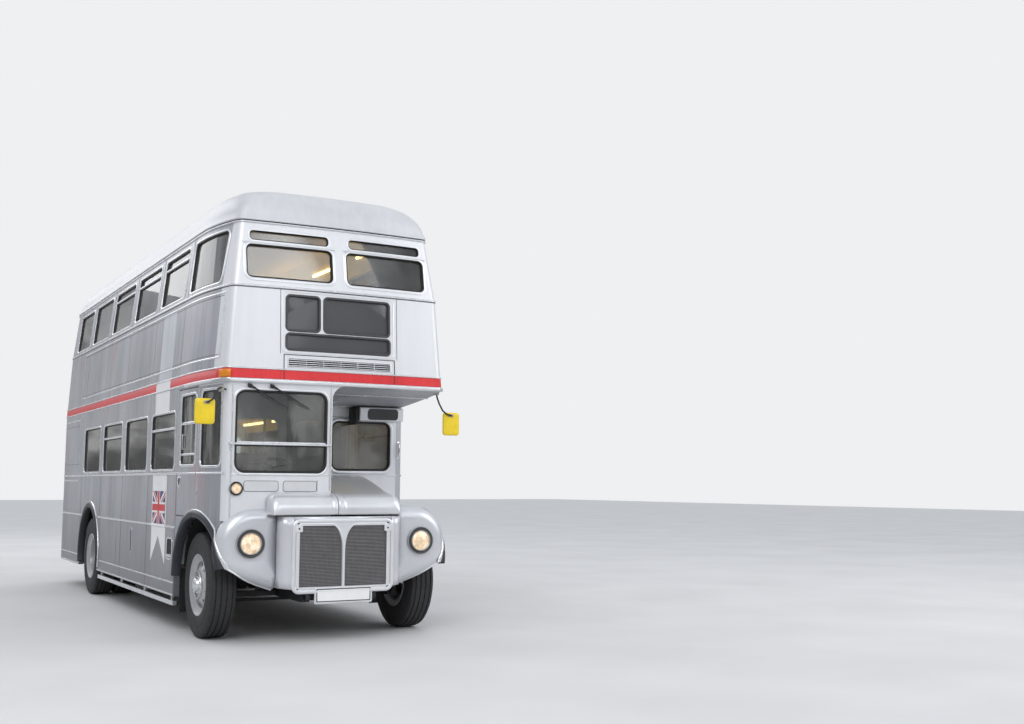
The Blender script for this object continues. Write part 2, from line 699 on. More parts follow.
def side_window_set():
    for label, s in SIDES.items():
        pans, rubbers = Kit(), Kit()
        for a, b in LOWER_WINDOWS:
            window_frames((pans, rubbers), side_wall(s), (a, b, 1.6, 2.19, 0.07))
        for a, b in UPPER_WINDOWS:
            window_frames((pans, rubbers), side_wall(s), (a, b, 3.372, 3.895, 0.07))
        # Opening panes: a bar across, with a dark gap under it and a pale sash
        for table, bays, bar in ((LOWER_WINDOWS, (0, 2), 2.02), (UPPER_WINDOWS, (1, 2, 3), 3.79)):
            for bay in bays:
                a, b = table[bay]
                strip_on(pans, side_wall(s), [(a + 0.012, bar), (b - 0.012, bar)], 0.024, -0.022, 0.001)
                strip_on(rubbers, side_wall(s), [(a + 0.02, bar - 0.017), (b - 0.02, bar - 0.017)], 0.012,
                         -0.021, -0.006)
        pans.piece(f"{label}_window_pans", TRIM, angle=50, slot="aluminium")
        rubbers.piece(f"{label}_window_rubbers", BLACK, angle=50, slot="rubber")


side_window_set()

# Frames for posters between the decks, blank, and the fine line inside them
POSTER = (FACE + 0.2, FACE + 6.9, 2.64, 3.26)
for label, s in SIDES.items():
    kit, line = Kit(), Kit()
    wall = side_wall(s)
    a, b, z0, z1 = POSTER
    ring = [(a, z0), (b, z0), (b, z1), (a, z1), (a, z0)]
    for p, q in zip(ring, ring[1:]):
        strip_on(kit, wall, [p, q], 0.018, -0.002, 0.007)
    strip_on(line, wall, [(a + 0.03, 3.232), (b - 0.03, 3.232)], 0.005, -0.001, 0.0015)
    strip_on(line, wall, [(a + 0.03, z0 + 0.03), (b - 0.03, z0 + 0.03)], 0.004, -0.001, 0.0012)
    for y in (FACE + 1.33, FACE + 2.56, FACE + 3.9, FACE + 5.24, FACE + 6.58):
        strip_on(line, wall, [(y, z0 + 0.012), (y, z1 - 0.012)], 0.004, -0.001, 0.0012)
    kit.piece(f"{label}_poster_frame", TRIM, angle=50)
    line.piece(f"{label}_poster_lines", IRON)

# Lower deck mouldings, panel seams and sill
LOWER_RUNS = {
    "offside": ((WAIST_RAIL, BULKHEAD, REAR - 0.15), (LOWER_RAIL, BULKHEAD, AXLE_R - 0.42),
                (LOWER_RAIL, AXLE_R + 0.54, REAR - 0.15)),
    "nearside": ((WAIST_RAIL, BULKHEAD, 2.695), (LOWER_RAIL, BULKHEAD, AXLE_R - 0.42),
                 (LOWER_RAIL, AXLE_R + 0.54, 2.695)),
}
SEAMS = [BULKHEAD + 0.02, FACE + 2.56, FACE + 3.9, FACE + 5.24, FACE + 6.62]
for label, s in SIDES.items():
    wall = side_wall(s)
    beads, seams = Kit(), Kit()
    for z, a, b in LOWER_RUNS[label]:
        strip_on(beads, wall, [(a, z), (b, z)], 0.022, -0.002, 0.011)
    for z in (0.48, 0.36):
        for a, b in ((BULKHEAD, AXLE_R - 0.59), (AXLE_R + 0.72, REAR - 0.15 if s < 0 else 2.69)):
            strip_on(beads, wall, [(a, z), (b, z)], 0.016, -0.002, 0.007)
    for y in SEAMS:
        low = 1.2 if abs(y - (AXLE_R + 0.06)) < 0.66 else 0.37
        strip_on(seams, wall, [(y, low), (y, 1.548)], 0.005, -0.001, 0.0014)
        strip_on(beads, wall, [(y, 2.21), (y, 2.42)], 0.012, -0.001, 0.003)
    beads.piece(f"{label}_lower_beads", TRIM, angle=50)
    seams.piece(f"{label}_panel_seams", IRON)
    for n, y in enumerate([BULKHEAD + 0.02] + [FACE + v for v in (2.557, 3.897, 5.242, 6.587)]):
        kit = Kit()
        strip_on(kit, wall, [(y, 3.345), (y, 3.945)], 0.05, -0.002, 0.004)
        kit.piece(f"{label}_upper_pillar_{n}", SILVER)


# Front of the upper deck
UPPER_PANES = ((-0.925, -0.07, 3.405, 3.74, 0.06), (0.07, 0.925, 3.405, 3.74, 0.06))
VENTS = ((-0.89, -0.1, 3.775, 3.88, 0.04), (0.1, 0.89, 3.775, 3.88, 0.04))
DISPLAYS = ((-0.54, -0.215, 2.92, 3.255, 0.035), (-0.165, 0.515, 2.92, 3.255, 0.035),
            (-0.54, 0.52, 2.735, 2.885, 0.035))


def upper_front_detail():
    pans, rubbers, lines = Kit(), Kit(), Kit()
    for rect in UPPER_PANES:
        frame_on(pans, upper_front, rect, [(0.03, -0.002), (0.027, 0.004), (0.02, 0.006), (-0.002, 0.006),
                                           (-0.007, 0.0), (-0.009, -0.012)])
        frame_on(rubbers, upper_front, rect, [(0.001, 0.0055), (-0.003, 0.0075), (-0.01, 0.0065), (-0.014, -0.004),
                                              (-0.02, -0.0215)])
    for rect in VENTS:
        frame_on(pans, upper_front, rect, [(0.016, -0.002), (0.014, 0.004), (0.009, 0.006), (-0.004, 0.004),
                                           (-0.008, -0.012)])
        frame_on(rubbers, upper_front, rect, [(-0.005, 0.0), (-0.009, 0.0015), (-0.014, -0.006), (-0.016, -0.0215)])
    # Drip rail over the panes, and the seams beside the displays
    for x0, x1 in ((-0.95, -0.045), (0.045, 0.95)):
        strip_on(pans, upper_front, [(x0, 3.757), (x1, 3.757)], 0.016, 0.0, 0.012)
    for x in (-0.60, 0.60):
        strip_on(lines, upper_front, [(x, 2.69), (x, 3.31)], 0.005, -0.001, 0.0012)
    pans.piece("upper_front_pans", FRONT_TRIM, angle=50, slot="aluminium")
    rubbers.piece("upper_front_rubbers", BLACK, angle=50, slot="rubber")

    # Blank displays: dark rims round dim glass, and a pale plate behind them
    rims, panes = Kit(), Kit()
    for rect in DISPLAYS:
        frame_on(rims, upper_front, rect, [(0.014, 0.001), (0.012, 0.0065), (0.004, 0.009), (-0.006, 0.007),
                                           (-0.012, -0.008), (-0.013, -0.03)])
        x0, x1, z0, z1, r = rect
        plate_on(panes, upper_front, (x0 + 0.008, x1 - 0.008, z0 + 0.008, z1 - 0.008, r - 0.008), -0.024, -0.018, 0.001)
    edging = Kit()
    frame_on(edging, upper_front, (-0.585, 0.565, 2.70, 3.29, 0.05),
             [(0.006, -0.001), (0.005, 0.003), (0.0, 0.0045), (-0.004, 0.0022)])
    rims.piece("display_rims", DISPLAY_RIM, angle=50, slot="black_plastic")
    panes.piece("display_glass", BLIND, slot="blind")
    edging.piece("display_surround", FRONT_TRIM)

    # Hinged panel that crosses the band, with its slatted grille
    frame_on(lines, upper_front, (-0.564, 0.572, 2.441, 2.683, 0.004),
             [(0.003, 0.0), (0.003, 0.0042), (-0.003, 0.0042), (-0.003, 0.0)])
    for x in (-0.60, 0.62):
        strip_on(lines, upper_front, [(x, 2.44), (x, 2.53)], 0.004, 0.0, 0.0042)
    lines.piece("front_seams", IRON)
    slats, back, edge = Kit(), Kit(), Kit()
    g = (-0.523, 0.527, 2.568, 2.647, 0.006)
    plate_on(back, upper_front, g, -0.001, 0.0025, 0.001)
    frame_on(edge, upper_front, g, [(0.007, 0.0), (0.006, 0.006), (0.0, 0.008), (-0.004, 0.003)])
    for n in range(4):
        z = g[2] + 0.011 + n * 0.019
        strip_on(slats, upper_front, [(g[0] + 0.003, z), (g[1] - 0.003, z)], 0.0065, 0.002, 0.0085)
    for n in range(1, 6):
        x = g[0] + (g[1] - g[0]) * n / 6
        strip_on(slats, upper_front, [(x, g[2] + 0.002), (x, g[3] - 0.002)], 0.004, 0.002, 0.0075)
    back.piece("front_vent_back", DARK)
    slats.piece("front_vent_slats", TRIM, slot="aluminium")
    edge.piece("front_vent_edge", FRONT_TRIM)

    # Amber repeater on the offside corner
    lamp_kit, base = Kit(), Kit()
    path = [p for p in body_path(2.482, 0.0) if p[0].x < -1.04 and p[0].y < FACE + 0.22]
    base.sweep(path, [(-0.004, -0.046), (0.010, -0.046), (0.012, -0.043), (0.012, 0.043), (0.010, 0.046),
                      (-0.004, 0.046)])
    lamp_kit.sweep(path[1:-1], [(0.011, -0.038), (0.022, -0.034), (0.026, -0.02), (0.026, 0.02), (0.022, 0.034),
                                (0.011, 0.038)])
    base.piece("repeater_base", RED, angle=40)
    lamp_kit.piece("repeater_lens", AMBER, angle=60)


FRONT_TRIM = material("front_trim", (0.76, 0.77, 0.79), 0.3, 0.6)
DISPLAY_RIM = material("display_rim", (0.05, 0.05, 0.055), 0.4)
upper_front_detail()


# Cab front: windscreen frame, bar, flaps and corner mouldings
def cab_detail():
    pans, rubbers, lines, trims = Kit(), Kit(), Kit(), Kit()
    screen = (-1.005, -0.125, 1.565, 2.33, 0.09)
    frame_on(pans, cab_front, screen, [(0.03, -0.002), (0.028, 0.006), (0.02, 0.010), (0.008, 0.010), (0.002, 0.006),
                                       (-0.002, -0.002)])
    frame_on(rubbers, cab_front, screen, [(0.004, 0.0), (0.003, 0.008), (-0.004, 0.011), (-0.012, 0.009),
                                          (-0.018, -0.002), (-0.02, -0.016)])
    # Opening upper pane: bar, its brackets and a fine sash round it
    trims.tube([cab_front(-1.045, 1.83, 0.022), cab_front(-0.8, 1.83, 0.024), cab_front(-0.3, 1.83, 0.024),
                cab_front(-0.095, 1.83, 0.022)], 0.011, 12)
    strip_on(trims, cab_front, [(-0.99, 1.842), (-0.14, 1.842)], 0.022, -0.016, 0.010)
    strip_on(rubbers, cab_front, [(-0.99, 1.815), (-0.14, 1.815)], 0.012, -0.016, 0.004)
    for x in (-1.045, -0.095):
        trims.lathe([(0.0, -0.002), (0.018, -0.002), (0.018, 0.012), (0.012, 0.02), (0.012, 0.036), (0.0, 0.038)],
                    ahead(cab_front(x, 1.83)), 20)
        strip_on(trims, cab_front, [(x, 1.80), (x, 1.765)], 0.014, 0.0, 0.012)
    # Pillar beside the bonnet opening, with its rounded corner into the canopy
    strip_on(trims, cab_front, [(-0.085, 1.40), (-0.085, 2.395)], 0.014, 0.0, 0.006)
    gusset = Kit()
    corner = [(-0.071, 2.404), (0.06, 2.404)] + [(0.06 - 0.131 * math.sin(a), 2.404 - 0.131 * (1 - math.cos(a)))
                                               for a in (math.radians(9 * i) for i in range(1, 11))]
    gusset.grid([[cab_front(u, v, h) for u, v in corner] for h in (0.0, -0.03)], True, first=True, last=True)
    gusset.piece("canopy_corner", FRONT_SILVER, angle=30)
    # Two flaps under the windscreen
    for x0, x1 in ((-0.911, -0.59), (-0.54, -0.217)):
        rect = (x0, x1, 1.392, 1.487, 0.022)
        plate_on(pans, cab_front, rect, -0.001, 0.003, 0.0015)
        frame_on(lines, cab_front, rect, [(0.004, -0.001), (0.0035, 0.002), (0.0, 0.002), (-0.001, -0.001)])
    # Corner moulding, belt and lower edge
    strip_on(trims, cab_front, [(-1.03, 1.548), (-0.09, 1.548)], 0.014, 0.0, 0.004)
    strip_on(trims, cab_front, [(-1.035, 1.14), (-1.035, 2.38)], 0.012, -0.001, 0.006)
    strip_on(lines, cab_front, [(-0.21, 1.50), (-0.21, 1.39)], 0.004, -0.001, 0.001)
    pans.piece("windscreen_pan", FRONT_TRIM, angle=50, slot="aluminium")
    rubbers.piece("windscreen_rubber", BLACK, angle=50, slot="rubber")
    lines.piece("cab_front_lines", IRON)
    trims.piece("cab_front_trims", TRIM, angle=45, slot="aluminium")


cab_detail()


# Round lamps
def round_lamp(name, x, y, z, r, deep):
    """Recess ring, bezel, bowl and lens, facing forwards."""
    place = ahead((x, y, z))
    ring, bezel, bowl, lens = Kit(), Kit(), Kit(), Kit()
    ring.lathe([(r * 0.955, 0.004), (r * 0.93, -0.002), (r * 0.80, -0.010), (r * 0.745, -0.012)], place, 64)
    bezel.lathe([(r, -0.012), (r, 0.004), (r * 0.99, 0.008), (r * 0.965, 0.008), (r * 0.95, 0.003)], place, 64)
    bezel.lathe([(r * 0.765, -0.014), (r * 0.765, 0.004), (r * 0.75, 0.014), (r * 0.72, 0.018), (r * 0.69, 0.015),
                 (r * 0.675, 0.007), (r * 0.67, -0.004)], place, 64)
    bowl.lathe([(r * 0.68, 0.002), (r * 0.66, -deep * 0.25), (r * 0.55, -deep * 0.6), (r * 0.35, -deep * 0.88),
                (r * 0.12, -deep), (0.0005, -deep)], place, 48)
    # fluted lens: a dome whose face rises and falls in upright ribs
    rings = [[place @ Vector((0, 0, 0.029))]]
    count = 96
    for t in (0.12, 0.25, 0.38, 0.5, 0.62, 0.74, 0.86, 0.95, 1.0):
        loop = []
        for i in range(count):
            a = 2 * math.pi * i / count
            u, v = r * 0.675 * t * math.cos(a), r * 0.675 * t * math.sin(a)
            rib = 0.0016 * math.cos(2 * math.pi * u / (r * 0.085)) if t < 0.9 else 0.0
            loop.append(place @ Vector((u, v, 0.029 - 0.025 * t ** 2.2 + rib)))
        rings.append(loop)
    verts = rings[0] + [p for loop in rings[1:] for p in loop]
    faces = [(0, 1 + i, 1 + (i + 1) % count) for i in range(count)]
    for k in range(len(rings) - 2):
        o = 1 + k * count
        faces += [(o + i, o + count + i, o + count + (i + 1) % count, o + (i + 1) % count) for i in range(count)]
    lens.add(verts, faces)
    ring.piece(name + "_recess", RECESS)
    bezel.piece(name + "_bezel", BEZEL, angle=60)
    bowl.piece(name + "_bowl", WARM, angle=80)
    lens.piece(name + "_lens", LENS, angle=80)
    bulb = Kit()
    bulb.lathe([(0.0005, 0.0), (r * 0.1, 0.001), (r * 0.12, -0.01), (r * 0.1, -deep * 0.8)], place, 24)
    bulb.piece(name + "_bulb", CHROME)


RECESS = material("lamp_recess", (0.10, 0.10, 0.105), 0.45, 0.3)
BEZEL = material("lamp_bezel", (0.50, 0.50, 0.51), 0.28, 0.9)
LENS = material("lamp_lens", (0.72, 0.60, 0.44), 0.12, Emission_Strength=0.42)
patches = noisy(LENS, 26, 3, 0.6, (1, 1, 0.6))
link(LENS, ramp(LENS, patches, ((0.38, (0.30, 0.13, 0.04)), (0.5, (0.90, 0.55, 0.24)), (0.60, (1.0, 0.92, 0.78)))),
     shader(LENS).inputs["Emission Color"])
HEAD_Y = FACE - 0.025
for label, x in (("offside", -0.855), ("nearside", 0.855)):
    round_lamp(label + "_headlamp", x, HEAD_Y - 0.012, 0.915, 0.135, 0.06)
round_lamp("side_lamp", -0.985, cab_front(-0.985, 1.417).y - 0.012, 1.417, 0.066, 0.03)
tail_glow = material("tail_red", (0.6, 0.01, 0.01), 0.2)
kit = Kit()
for x in (-1.05, 0.06):
    for z0, z1 in ((0.905, 1.0), (1.012, 1.115)):
        plate_on(kit, lower_rear, (x + 0.006, x + 0.084, z0, z1, 0.03), 0.0, 0.0198, 0.006)
kit.piece("tail_lamps", tail_glow)
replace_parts(bpy.data.objects["offside_headlamp_bezel"], "lamps")


# Bonnet, nose panel and their rounded lip
LIP_Y = NOSE + 0.006
NOSE_SPAN = 0.15


def lip_profile(back_y, back_z):
    """Side view of the bonnet from the underside of the lip to its rear edge: (y, z)."""
    pts = [(LIP_Y + dy, z) for dy, z in ((0.06, 1.176), (0.02, 1.174), (0.008, 1.178), (0.001, 1.188), (0, 1.205))]
    for i in range(15):
        a = math.pi / 2 * i / 14
        pts.append((LIP_Y + NOSE_SPAN * (1 - math.cos(a)), 1.222 + 0.153 * math.sin(a)))
    y0, z0 = pts[-1]
    for i in range(1, 9):
        s = i / 8
        pts.append((y0 + (back_y - y0) * s, z0 + (back_z - z0) * (s * s * (3 - 2 * s) * 0.25 + s * 0.75)))
    return pts


def bonnet_mesh():
    """Bonnet to the right of its seam: sections with a round outer corner, carried along the profile."""
    kit = Kit()
    prof = lip_profile(BULKHEAD - 0.012, 1.545)
    rows = []
    for k, (y, z) in enumerate(prof):
        s = max(0.0, (y - (FACE + 0.005)) / (BULKHEAD - 0.012 - FACE - 0.005))
        nose = min(1.0, max(0.0, (y - LIP_Y) / NOSE_SPAN))
        edge = 0.612 - 0.036 * (1 - math.sqrt(1 - (1 - nose) ** 2)) + 0.253 * s
        if k < 5:
            edge = 0.576 - 0.004 * (4 - k)
        corner = 0.075 + 0.03 * nose + 0.02 * s
        low = 1.262 if s > 0 else min(1.174, z)
        row = [(-0.048 + (edge - corner + 0.048) * i / 10, z) for i in range(11)]
        if k >= 5:
            depth = min(corner, z - low - 0.002)
            row += [(edge - corner + corner * math.sin(a), z - depth * (1 - math.cos(a)))
                    for a in (math.pi / 2 * i / 8 for i in range(1, 9))]
            row += [(edge, z - depth - (z - depth - low) * i / 4) for i in range(1, 5)]
        else:
            row += [(edge - corner + corner * math.sin(math.pi / 2 * i / 8), z) for i in range(1, 9)]
            row += [(edge, z)] * 4
        rows.append([Vector((x, y, zz)) for x, zz in row])
    kit.grid(rows)
    return kit


def thicken(obj, depth):
    """Weld the seams and points of a skin, then give it its sheet thickness."""
    bm = bmesh.new()
    bm.from_mesh(obj.data)
    bmesh.ops.remove_doubles(bm, verts=bm.verts, dist=2e-5)
    bmesh.ops.dissolve_degenerate(bm, edges=bm.edges, dist=1e-5)
    bm.to_mesh(obj.data)
    bm.free()
    mod = obj.modifiers.new("sheet", "SOLIDIFY")
    mod.thickness, mod.offset = depth, -1
    return obj


BONNET_SILVER = smooth_silver("silver_bonnet", (0.61, 0.62, 0.64), (0.69, 0.70, 0.72), (0.26, 0.36), 0.5)
skin = thicken(bonnet_mesh().piece("bonnet_skin", BONNET_SILVER, "bonnet_body", angle=40, slot="silver_paint"), 0.004)
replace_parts(skin, "bonnet")


def nose_mesh():
    """Fixed panel in front of the cab, with a rounded outer end."""
    kit = Kit()
    prof = lip_profile(FACE + 0.014, 1.377)
    rows = []
    corner = 0.08
    for y, z in prof:
        nose = min(1.0, max(0.0, (y - LIP_Y) / NOSE_SPAN))
        edge = -0.70 + 0.03 * (1 - math.sqrt(1 - (1 - nose) ** 2))
        depth = min(corner, max(z - 1.174, 0.0))
        row = [(edge, z - depth - (z - depth - 1.174) * (4 - i) / 4) for i in range(4)]
        row += [(edge + corner - corner * math.cos(a), z - depth + depth * math.sin(a))
                for a in (math.pi / 2 * i / 8 for i in range(9))]
        row += [(edge + corner + (-0.052 - edge - corner) * i / 8, z) for i in range(1, 9)]
        rows.append([Vector((x, y, zz)) for x, zz in row])
    kit.grid(rows)
    return kit


skin = thicken(nose_mesh().piece("nose_skin", BONNET_SILVER, angle=40, slot="silver_paint"), 0.004)
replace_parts(skin, "nose_panel")


# Raised bands on the bonnet and the nose, one on each side of the seam between them
def nose_strips():
    prof = lip_profile(BULKHEAD - 0.012, 1.545)[3:20]
    for name, x0, x1, body in (("bonnet_band", -0.040, 0.035, "bonnet_body"),
                               ("nose_band", -0.085, -0.056, "bus_body")):
        kit = Kit()
        rows = []
        for k, (y, z) in enumerate(prof):
            a = prof[max(k - 1, 0)]
            b = prof[min(k + 1, len(prof) - 1)]
            t = Vector((b[0] - a[0], b[1] - a[1])).normalized()
            n = Vector((-t.y, t.x))
            rows.append([Vector((x, y + n.x * h, z + n.y * h)) for x, h in
                         ((x0, -0.001), (x0 + 0.004, 0.0022), (x1 - 0.004, 0.0022), (x1, -0.001))])
        kit.grid(rows)
        kit.piece(name, BONNET_SILVER, body, angle=60)


nose_strips()


# Front wings: pillow front, round shoulders, cut by the wheel arch
ARCH_R = 0.65
ARCH_F = (FACE + 0.64, 0.53)
ARCH_B = (AXLE_R + 0.06, 0.53)
WING_Y = FACE - 0.025
WING_IN, WING_OUT, WING_ROUND = 0.614, 1.15, 0.12


def wing_outline():
    """Open front outline from the cowl's foot round the outer side to the cowl's head: (x, z)."""
    foot, low, high, head = (WING_IN, 0.482), (WING_OUT, 0.672), (WING_OUT, 1.24), (WING_IN, 1.25)

    def corner(a, b, c, r, steps):
        a, b, c = Vector(a), Vector(b), Vector(c)
        u, v = (a - b).normalized(), (c - b).normalized()
        half = u.angle(v) / 2
        reach = r / math.tan(half)
        centre = b + (u + v).normalized() * (r / math.sin(half))
        p, q = b + u * reach - centre, b + v * reach - centre
        turn = p.angle(q)
        sign = 1 if p.x * q.y - p.y * q.x > 0 else -1
        a0 = math.atan2(p.y, p.x)
        return [centre + r * Vector((math.cos(a0 + sign * turn * i / steps), math.sin(a0 + sign * turn * i / steps)))
                for i in range(steps + 1)]

    first = corner(foot, low, high, 0.15, 10)
    second = corner(low, high, head, 0.33, 18)
    run = [Vector(foot) + (first[0] - Vector(foot)) * i / 8 for i in range(8)] + first
    run += [first[-1] + (second[0] - first[-1]) * i / 3 for i in range(1, 3)] + second
    run += [second[-1] + (Vector(head) - second[-1]) * i / 4 for i in range(1, 5)]
    return run


def wing(s, rear):
    """Wing on side s, back to rear: its (y, reach) at the rear edge."""
    line = wing_outline()
    normals = []
    for i, p in enumerate(line):
        t = (line[min(i + 1, len(line) - 1)] - line[max(i - 1, 0)]).normalized()
        normals.append(Vector((t.y, -t.x)))
    kit = Kit()
    # front: from the flat middle out to the shoulder
    y0 = WING_Y + WING_ROUND
    top = ARCH_F[1] + ARCH_R

    def front_arch(z):
        return ARCH_F[0] - math.sqrt(max(ARCH_R ** 2 - (z - ARCH_F[1]) ** 2, 0))

    def fall(y):
        return WING_ROUND - math.sqrt(WING_ROUND ** 2 - min(max(y0 - y, 0.0), WING_ROUND) ** 2)

    rings = []
    steps = 9
    for k in range(steps + 1):
        a = math.pi / 2 * k / steps
        ring = []
        for p, n in zip(line, normals):
            y = WING_Y + WING_ROUND * (1 - math.cos(a))
            bend = min(max((p.x - 0.70) / 0.40, 0.0), 1.0)
            cut = y0 + (front_arch(p.y) - y0) * bend * bend * (3 - 2 * bend) if p.y < top else y0
            y = min(y, max(cut, WING_Y + 0.004))
            d = WING_ROUND * (1 - math.sin(a)) if y < cut else fall(y)
            x = WING_IN + max(p.x - WING_IN, 0.0)
            x -= n.x * d * min(1.0, (x - WING_IN) / 0.15)
            if y < cut:
                y += 0.010 * ((x - WING_IN) / 0.5) ** 2 * (1 - k / steps)
            ring.append(Vector((s * x, y, p.y - n.y * d)))
        rings.append(ring)
    inner = [[Vector((q.x * share + s * WING_IN * (1 - share), q.y, q.z)) for q in rings[0]]
             for share in (0, 0.25, 0.5, 0.75)]
    kit.grid(inner + rings, flip=True)
    # sides and top, back along the bus
    shoulder = rings[-1]
    kit.hem = [p for p in shoulder if p.z < 0.705]

    def reach(y, x):
        back = max(0.0, (y - y0) / (rear[0] - y0))
        return x * (1 + (rear[1] / WING_OUT - 1) * back * (abs(x) - WING_IN) / (WING_OUT - WING_IN))

    def strip(points, starts, ends, count=8):
        """Rows of quads from each point's start to its end along the bus."""
        rows = []
        for k in range(count + 1):
            rows.append([])
            for p, a, b in zip(points, starts, ends):
                y = a + (b - a) * k / count
                rows[-1].append(Vector((reach(y, p.x), y, p.z)))
        kit.grid(rows, flip=True)

    low_part = [p for p in shoulder if p.z < top]
    high_part = [p for p in shoulder if p.z >= top]
    a, b = low_part[-1], high_part[0]
    share = (top - a.z) / (b.z - a.z)
    join = a + (b - a) * share
    low_part, high_part = low_part + [join], [join] + high_part
    low_part = [p for p in low_part if front_arch(p.z) > y0 - 0.03]
    long = rear[0] > ARCH_F[0]
    fronts = [max(front_arch(p.z), y0) for p in low_part]
    strip(low_part, [y0] * len(low_part), fronts if long else [min(y, rear[0]) for y in fronts])
    every = len(high_part)
    if long:
        back = [p for p in low_part if 2 * ARCH_F[0] - front_arch(p.z) < rear[0] - 0.002]
        strip(high_part, [y0] * every, [ARCH_F[0]] * every)
        strip(high_part, [ARCH_F[0]] * every, [rear[0]] * every)
        strip(back, [2 * ARCH_F[0] - front_arch(p.z) for p in back], [rear[0]] * len(back))
    else:
        strip(high_part, [y0] * every, [rear[0]] * every)
    return kit


WINGS = {"offside": wing(-1, (FACE + 0.19, 1.128)), "nearside": wing(1, (BULKHEAD - 0.004, 1.205))}
wing_skins = [thicken(kit.piece(f"{label}_wing_skin", WING_SILVER, angle=40, slot="silver_paint"), 0.004)
              for label, kit in WINGS.items()]
for skin in wing_skins:
    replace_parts(skin, "front_wings")


# Arch mouldings: thick dark rubber with a pale edge
def arch_moulding(name, centre, surface, start, stop, steps=48):
    rubber, pale = Kit(), Kit()
    for kit, section in ((rubber, [(-0.040, -0.06), (-0.042, 0.012), (-0.034, 0.024), (-0.010, 0.030), (0.010, 0.026),
                                   (0.022, 0.014), (0.026, -0.002)]),
                         (pale, [(0.024, -0.002), (0.026, 0.010), (0.034, 0.012), (0.040, 0.006), (0.041, -0.002)])):
        turns = [math.radians(start + (stop - start) * i / steps) for i in range(steps + 1)]
        kit.grid([[surface(centre[0] - (ARCH_R + d) * math.cos(a), centre[1] + (ARCH_R + d) * math.sin(a), h)
                   for d, h in section] for a in turns], True, flip=True)
    rubber.piece(name + "_rubber", ARCH_RUBBER, angle=60, slot="rubber")
    pale.piece(name + "_edge", TRIM, angle=60)


ARCH_RUBBER = material("arch_rubber", (0.02, 0.022, 0.03), 0.4)
for label, s in SIDES.items():
    arch_moulding(f"{label}_rear_arch", ARCH_B, side_wall(s), -12, 192)


def shoulder_drop(y):
    """How far the wing's side falls in towards its face at y."""
    back = min(max(WING_Y + WING_ROUND - y, 0.0), WING_ROUND * 0.98)
    return WING_ROUND - math.sqrt(WING_ROUND ** 2 - back ** 2)


def offside_front_surface(y, z, h=0.0):
    """Offside skin round the front arch: the wing in front, then the cab side."""
    share = min(1.0, max(0.0, (y - (FACE + 0.10)) / 0.09))
    x = (WING_OUT - shoulder_drop(y)) * (1 - share) + (side_reach(y, z, 0.018, 0.015)) * share
    return Vector((-(x + h), y, z))


def nearside_front_surface(y, z, h=0.0):
    share = max(0.0, (y - (WING_Y + WING_ROUND)) / (BULKHEAD - 0.004 - WING_Y - WING_ROUND))
    return Vector((WING_OUT - shoulder_drop(y) + 0.055 * min(share, 1.0) + h, y, z))


arch_moulding("offside_front_arch", ARCH_F, offside_front_surface, 14, 178)
arch_moulding("nearside_front_arch", ARCH_F, nearside_front_surface, 14, 172)
# the rolled lower edge of each wing
for label, s in SIDES.items():
    kit = Kit()
    kit.tube(WINGS[label].hem, 0.009, 10)
    kit.piece(f"{label}_wing_roll", FRONT_TRIM)


# Wheels
def tyre_section():
    """Tyre profile in (radius, width) from one bead round to the other, with four grooves and shoulder ribs."""
    bead, outer, half = 0.262, WHEEL_R, TYRE_HALF
    pts = [(bead, -half * 0.70), (bead + 0.012, -half * 0.80), (0.29, -half * 0.90), (0.33, -half * 0.985),
           (0.375, -half), (0.40, -half * 0.995), (0.402, -half * 0.975), (0.408, -half * 0.975), (0.41, -half * 0.99),
           (0.44, -half * 0.965), (0.464, -half * 0.93), (0.478, -half * 0.90), (0.490, -half * 0.84)]
    groove = 0.011
    for c in (-0.6, -0.2, 0.2, 0.6):
        y = c * half
        top = outer - 0.004 * abs(c)
        pts += [(top, y - 0.007), (top - groove, y - 0.004), (top - groove, y + 0.004), (top, y + 0.007)]
    pts.append((0.490, half * 0.84))
    pts += [(r, -y) for r, y in reversed(pts[:12])]
    return pts


def tread_sipes(kit, place):
    """Short cross cuts on the ribs, as thin dark bars let into the tread."""
    for c in (-0.4, 0.0, 0.4):
        for n in range(72):
            a = 2 * math.pi * (n + (0.5 if c else 0)) / 72
            r = WHEEL_R - 0.0015 - 0.004 * abs(c)
            along = Vector((math.cos(a), math.sin(a), 0))
            across = Vector((-math.sin(a), math.cos(a), 0))
            kit.add([place @ (along * r + across * (sx * 0.0016 + sy * 0.002) +
                              Vector((0, 0, c * TYRE_HALF + sy * 0.014)))
                     for sx, sy in ((-1, -1), (1, -1), (1, 1), (-1, 1))], [(0, 1, 2, 3)])


def wheel(x, y, s):
    """Tyre and rim with its flanges, and their place. s is the outer side."""
    place = plane((x, y, WHEEL_R), (0, s, 0), (0, 0, 1))
    tyre = Kit()
    tyre.lathe(tyre_section(), place, 96)
    rim = Kit()
    rim.lathe([(0.222, -0.104), (0.252, -0.104), (0.284, -0.112), (0.288, -0.118), (0.282, -0.122), (0.25, -0.110),
               (0.216, -0.098), (0.216, 0.06), (0.222, 0.085), (0.25, 0.098), (0.276, 0.108), (0.284, 0.120),
               (0.290, 0.122), (0.294, 0.116), (0.288, 0.104), (0.262, 0.092), (0.254, 0.088), (0.254, -0.094),
               (0.222, -0.104)], place, 96)
    return place, tyre, rim


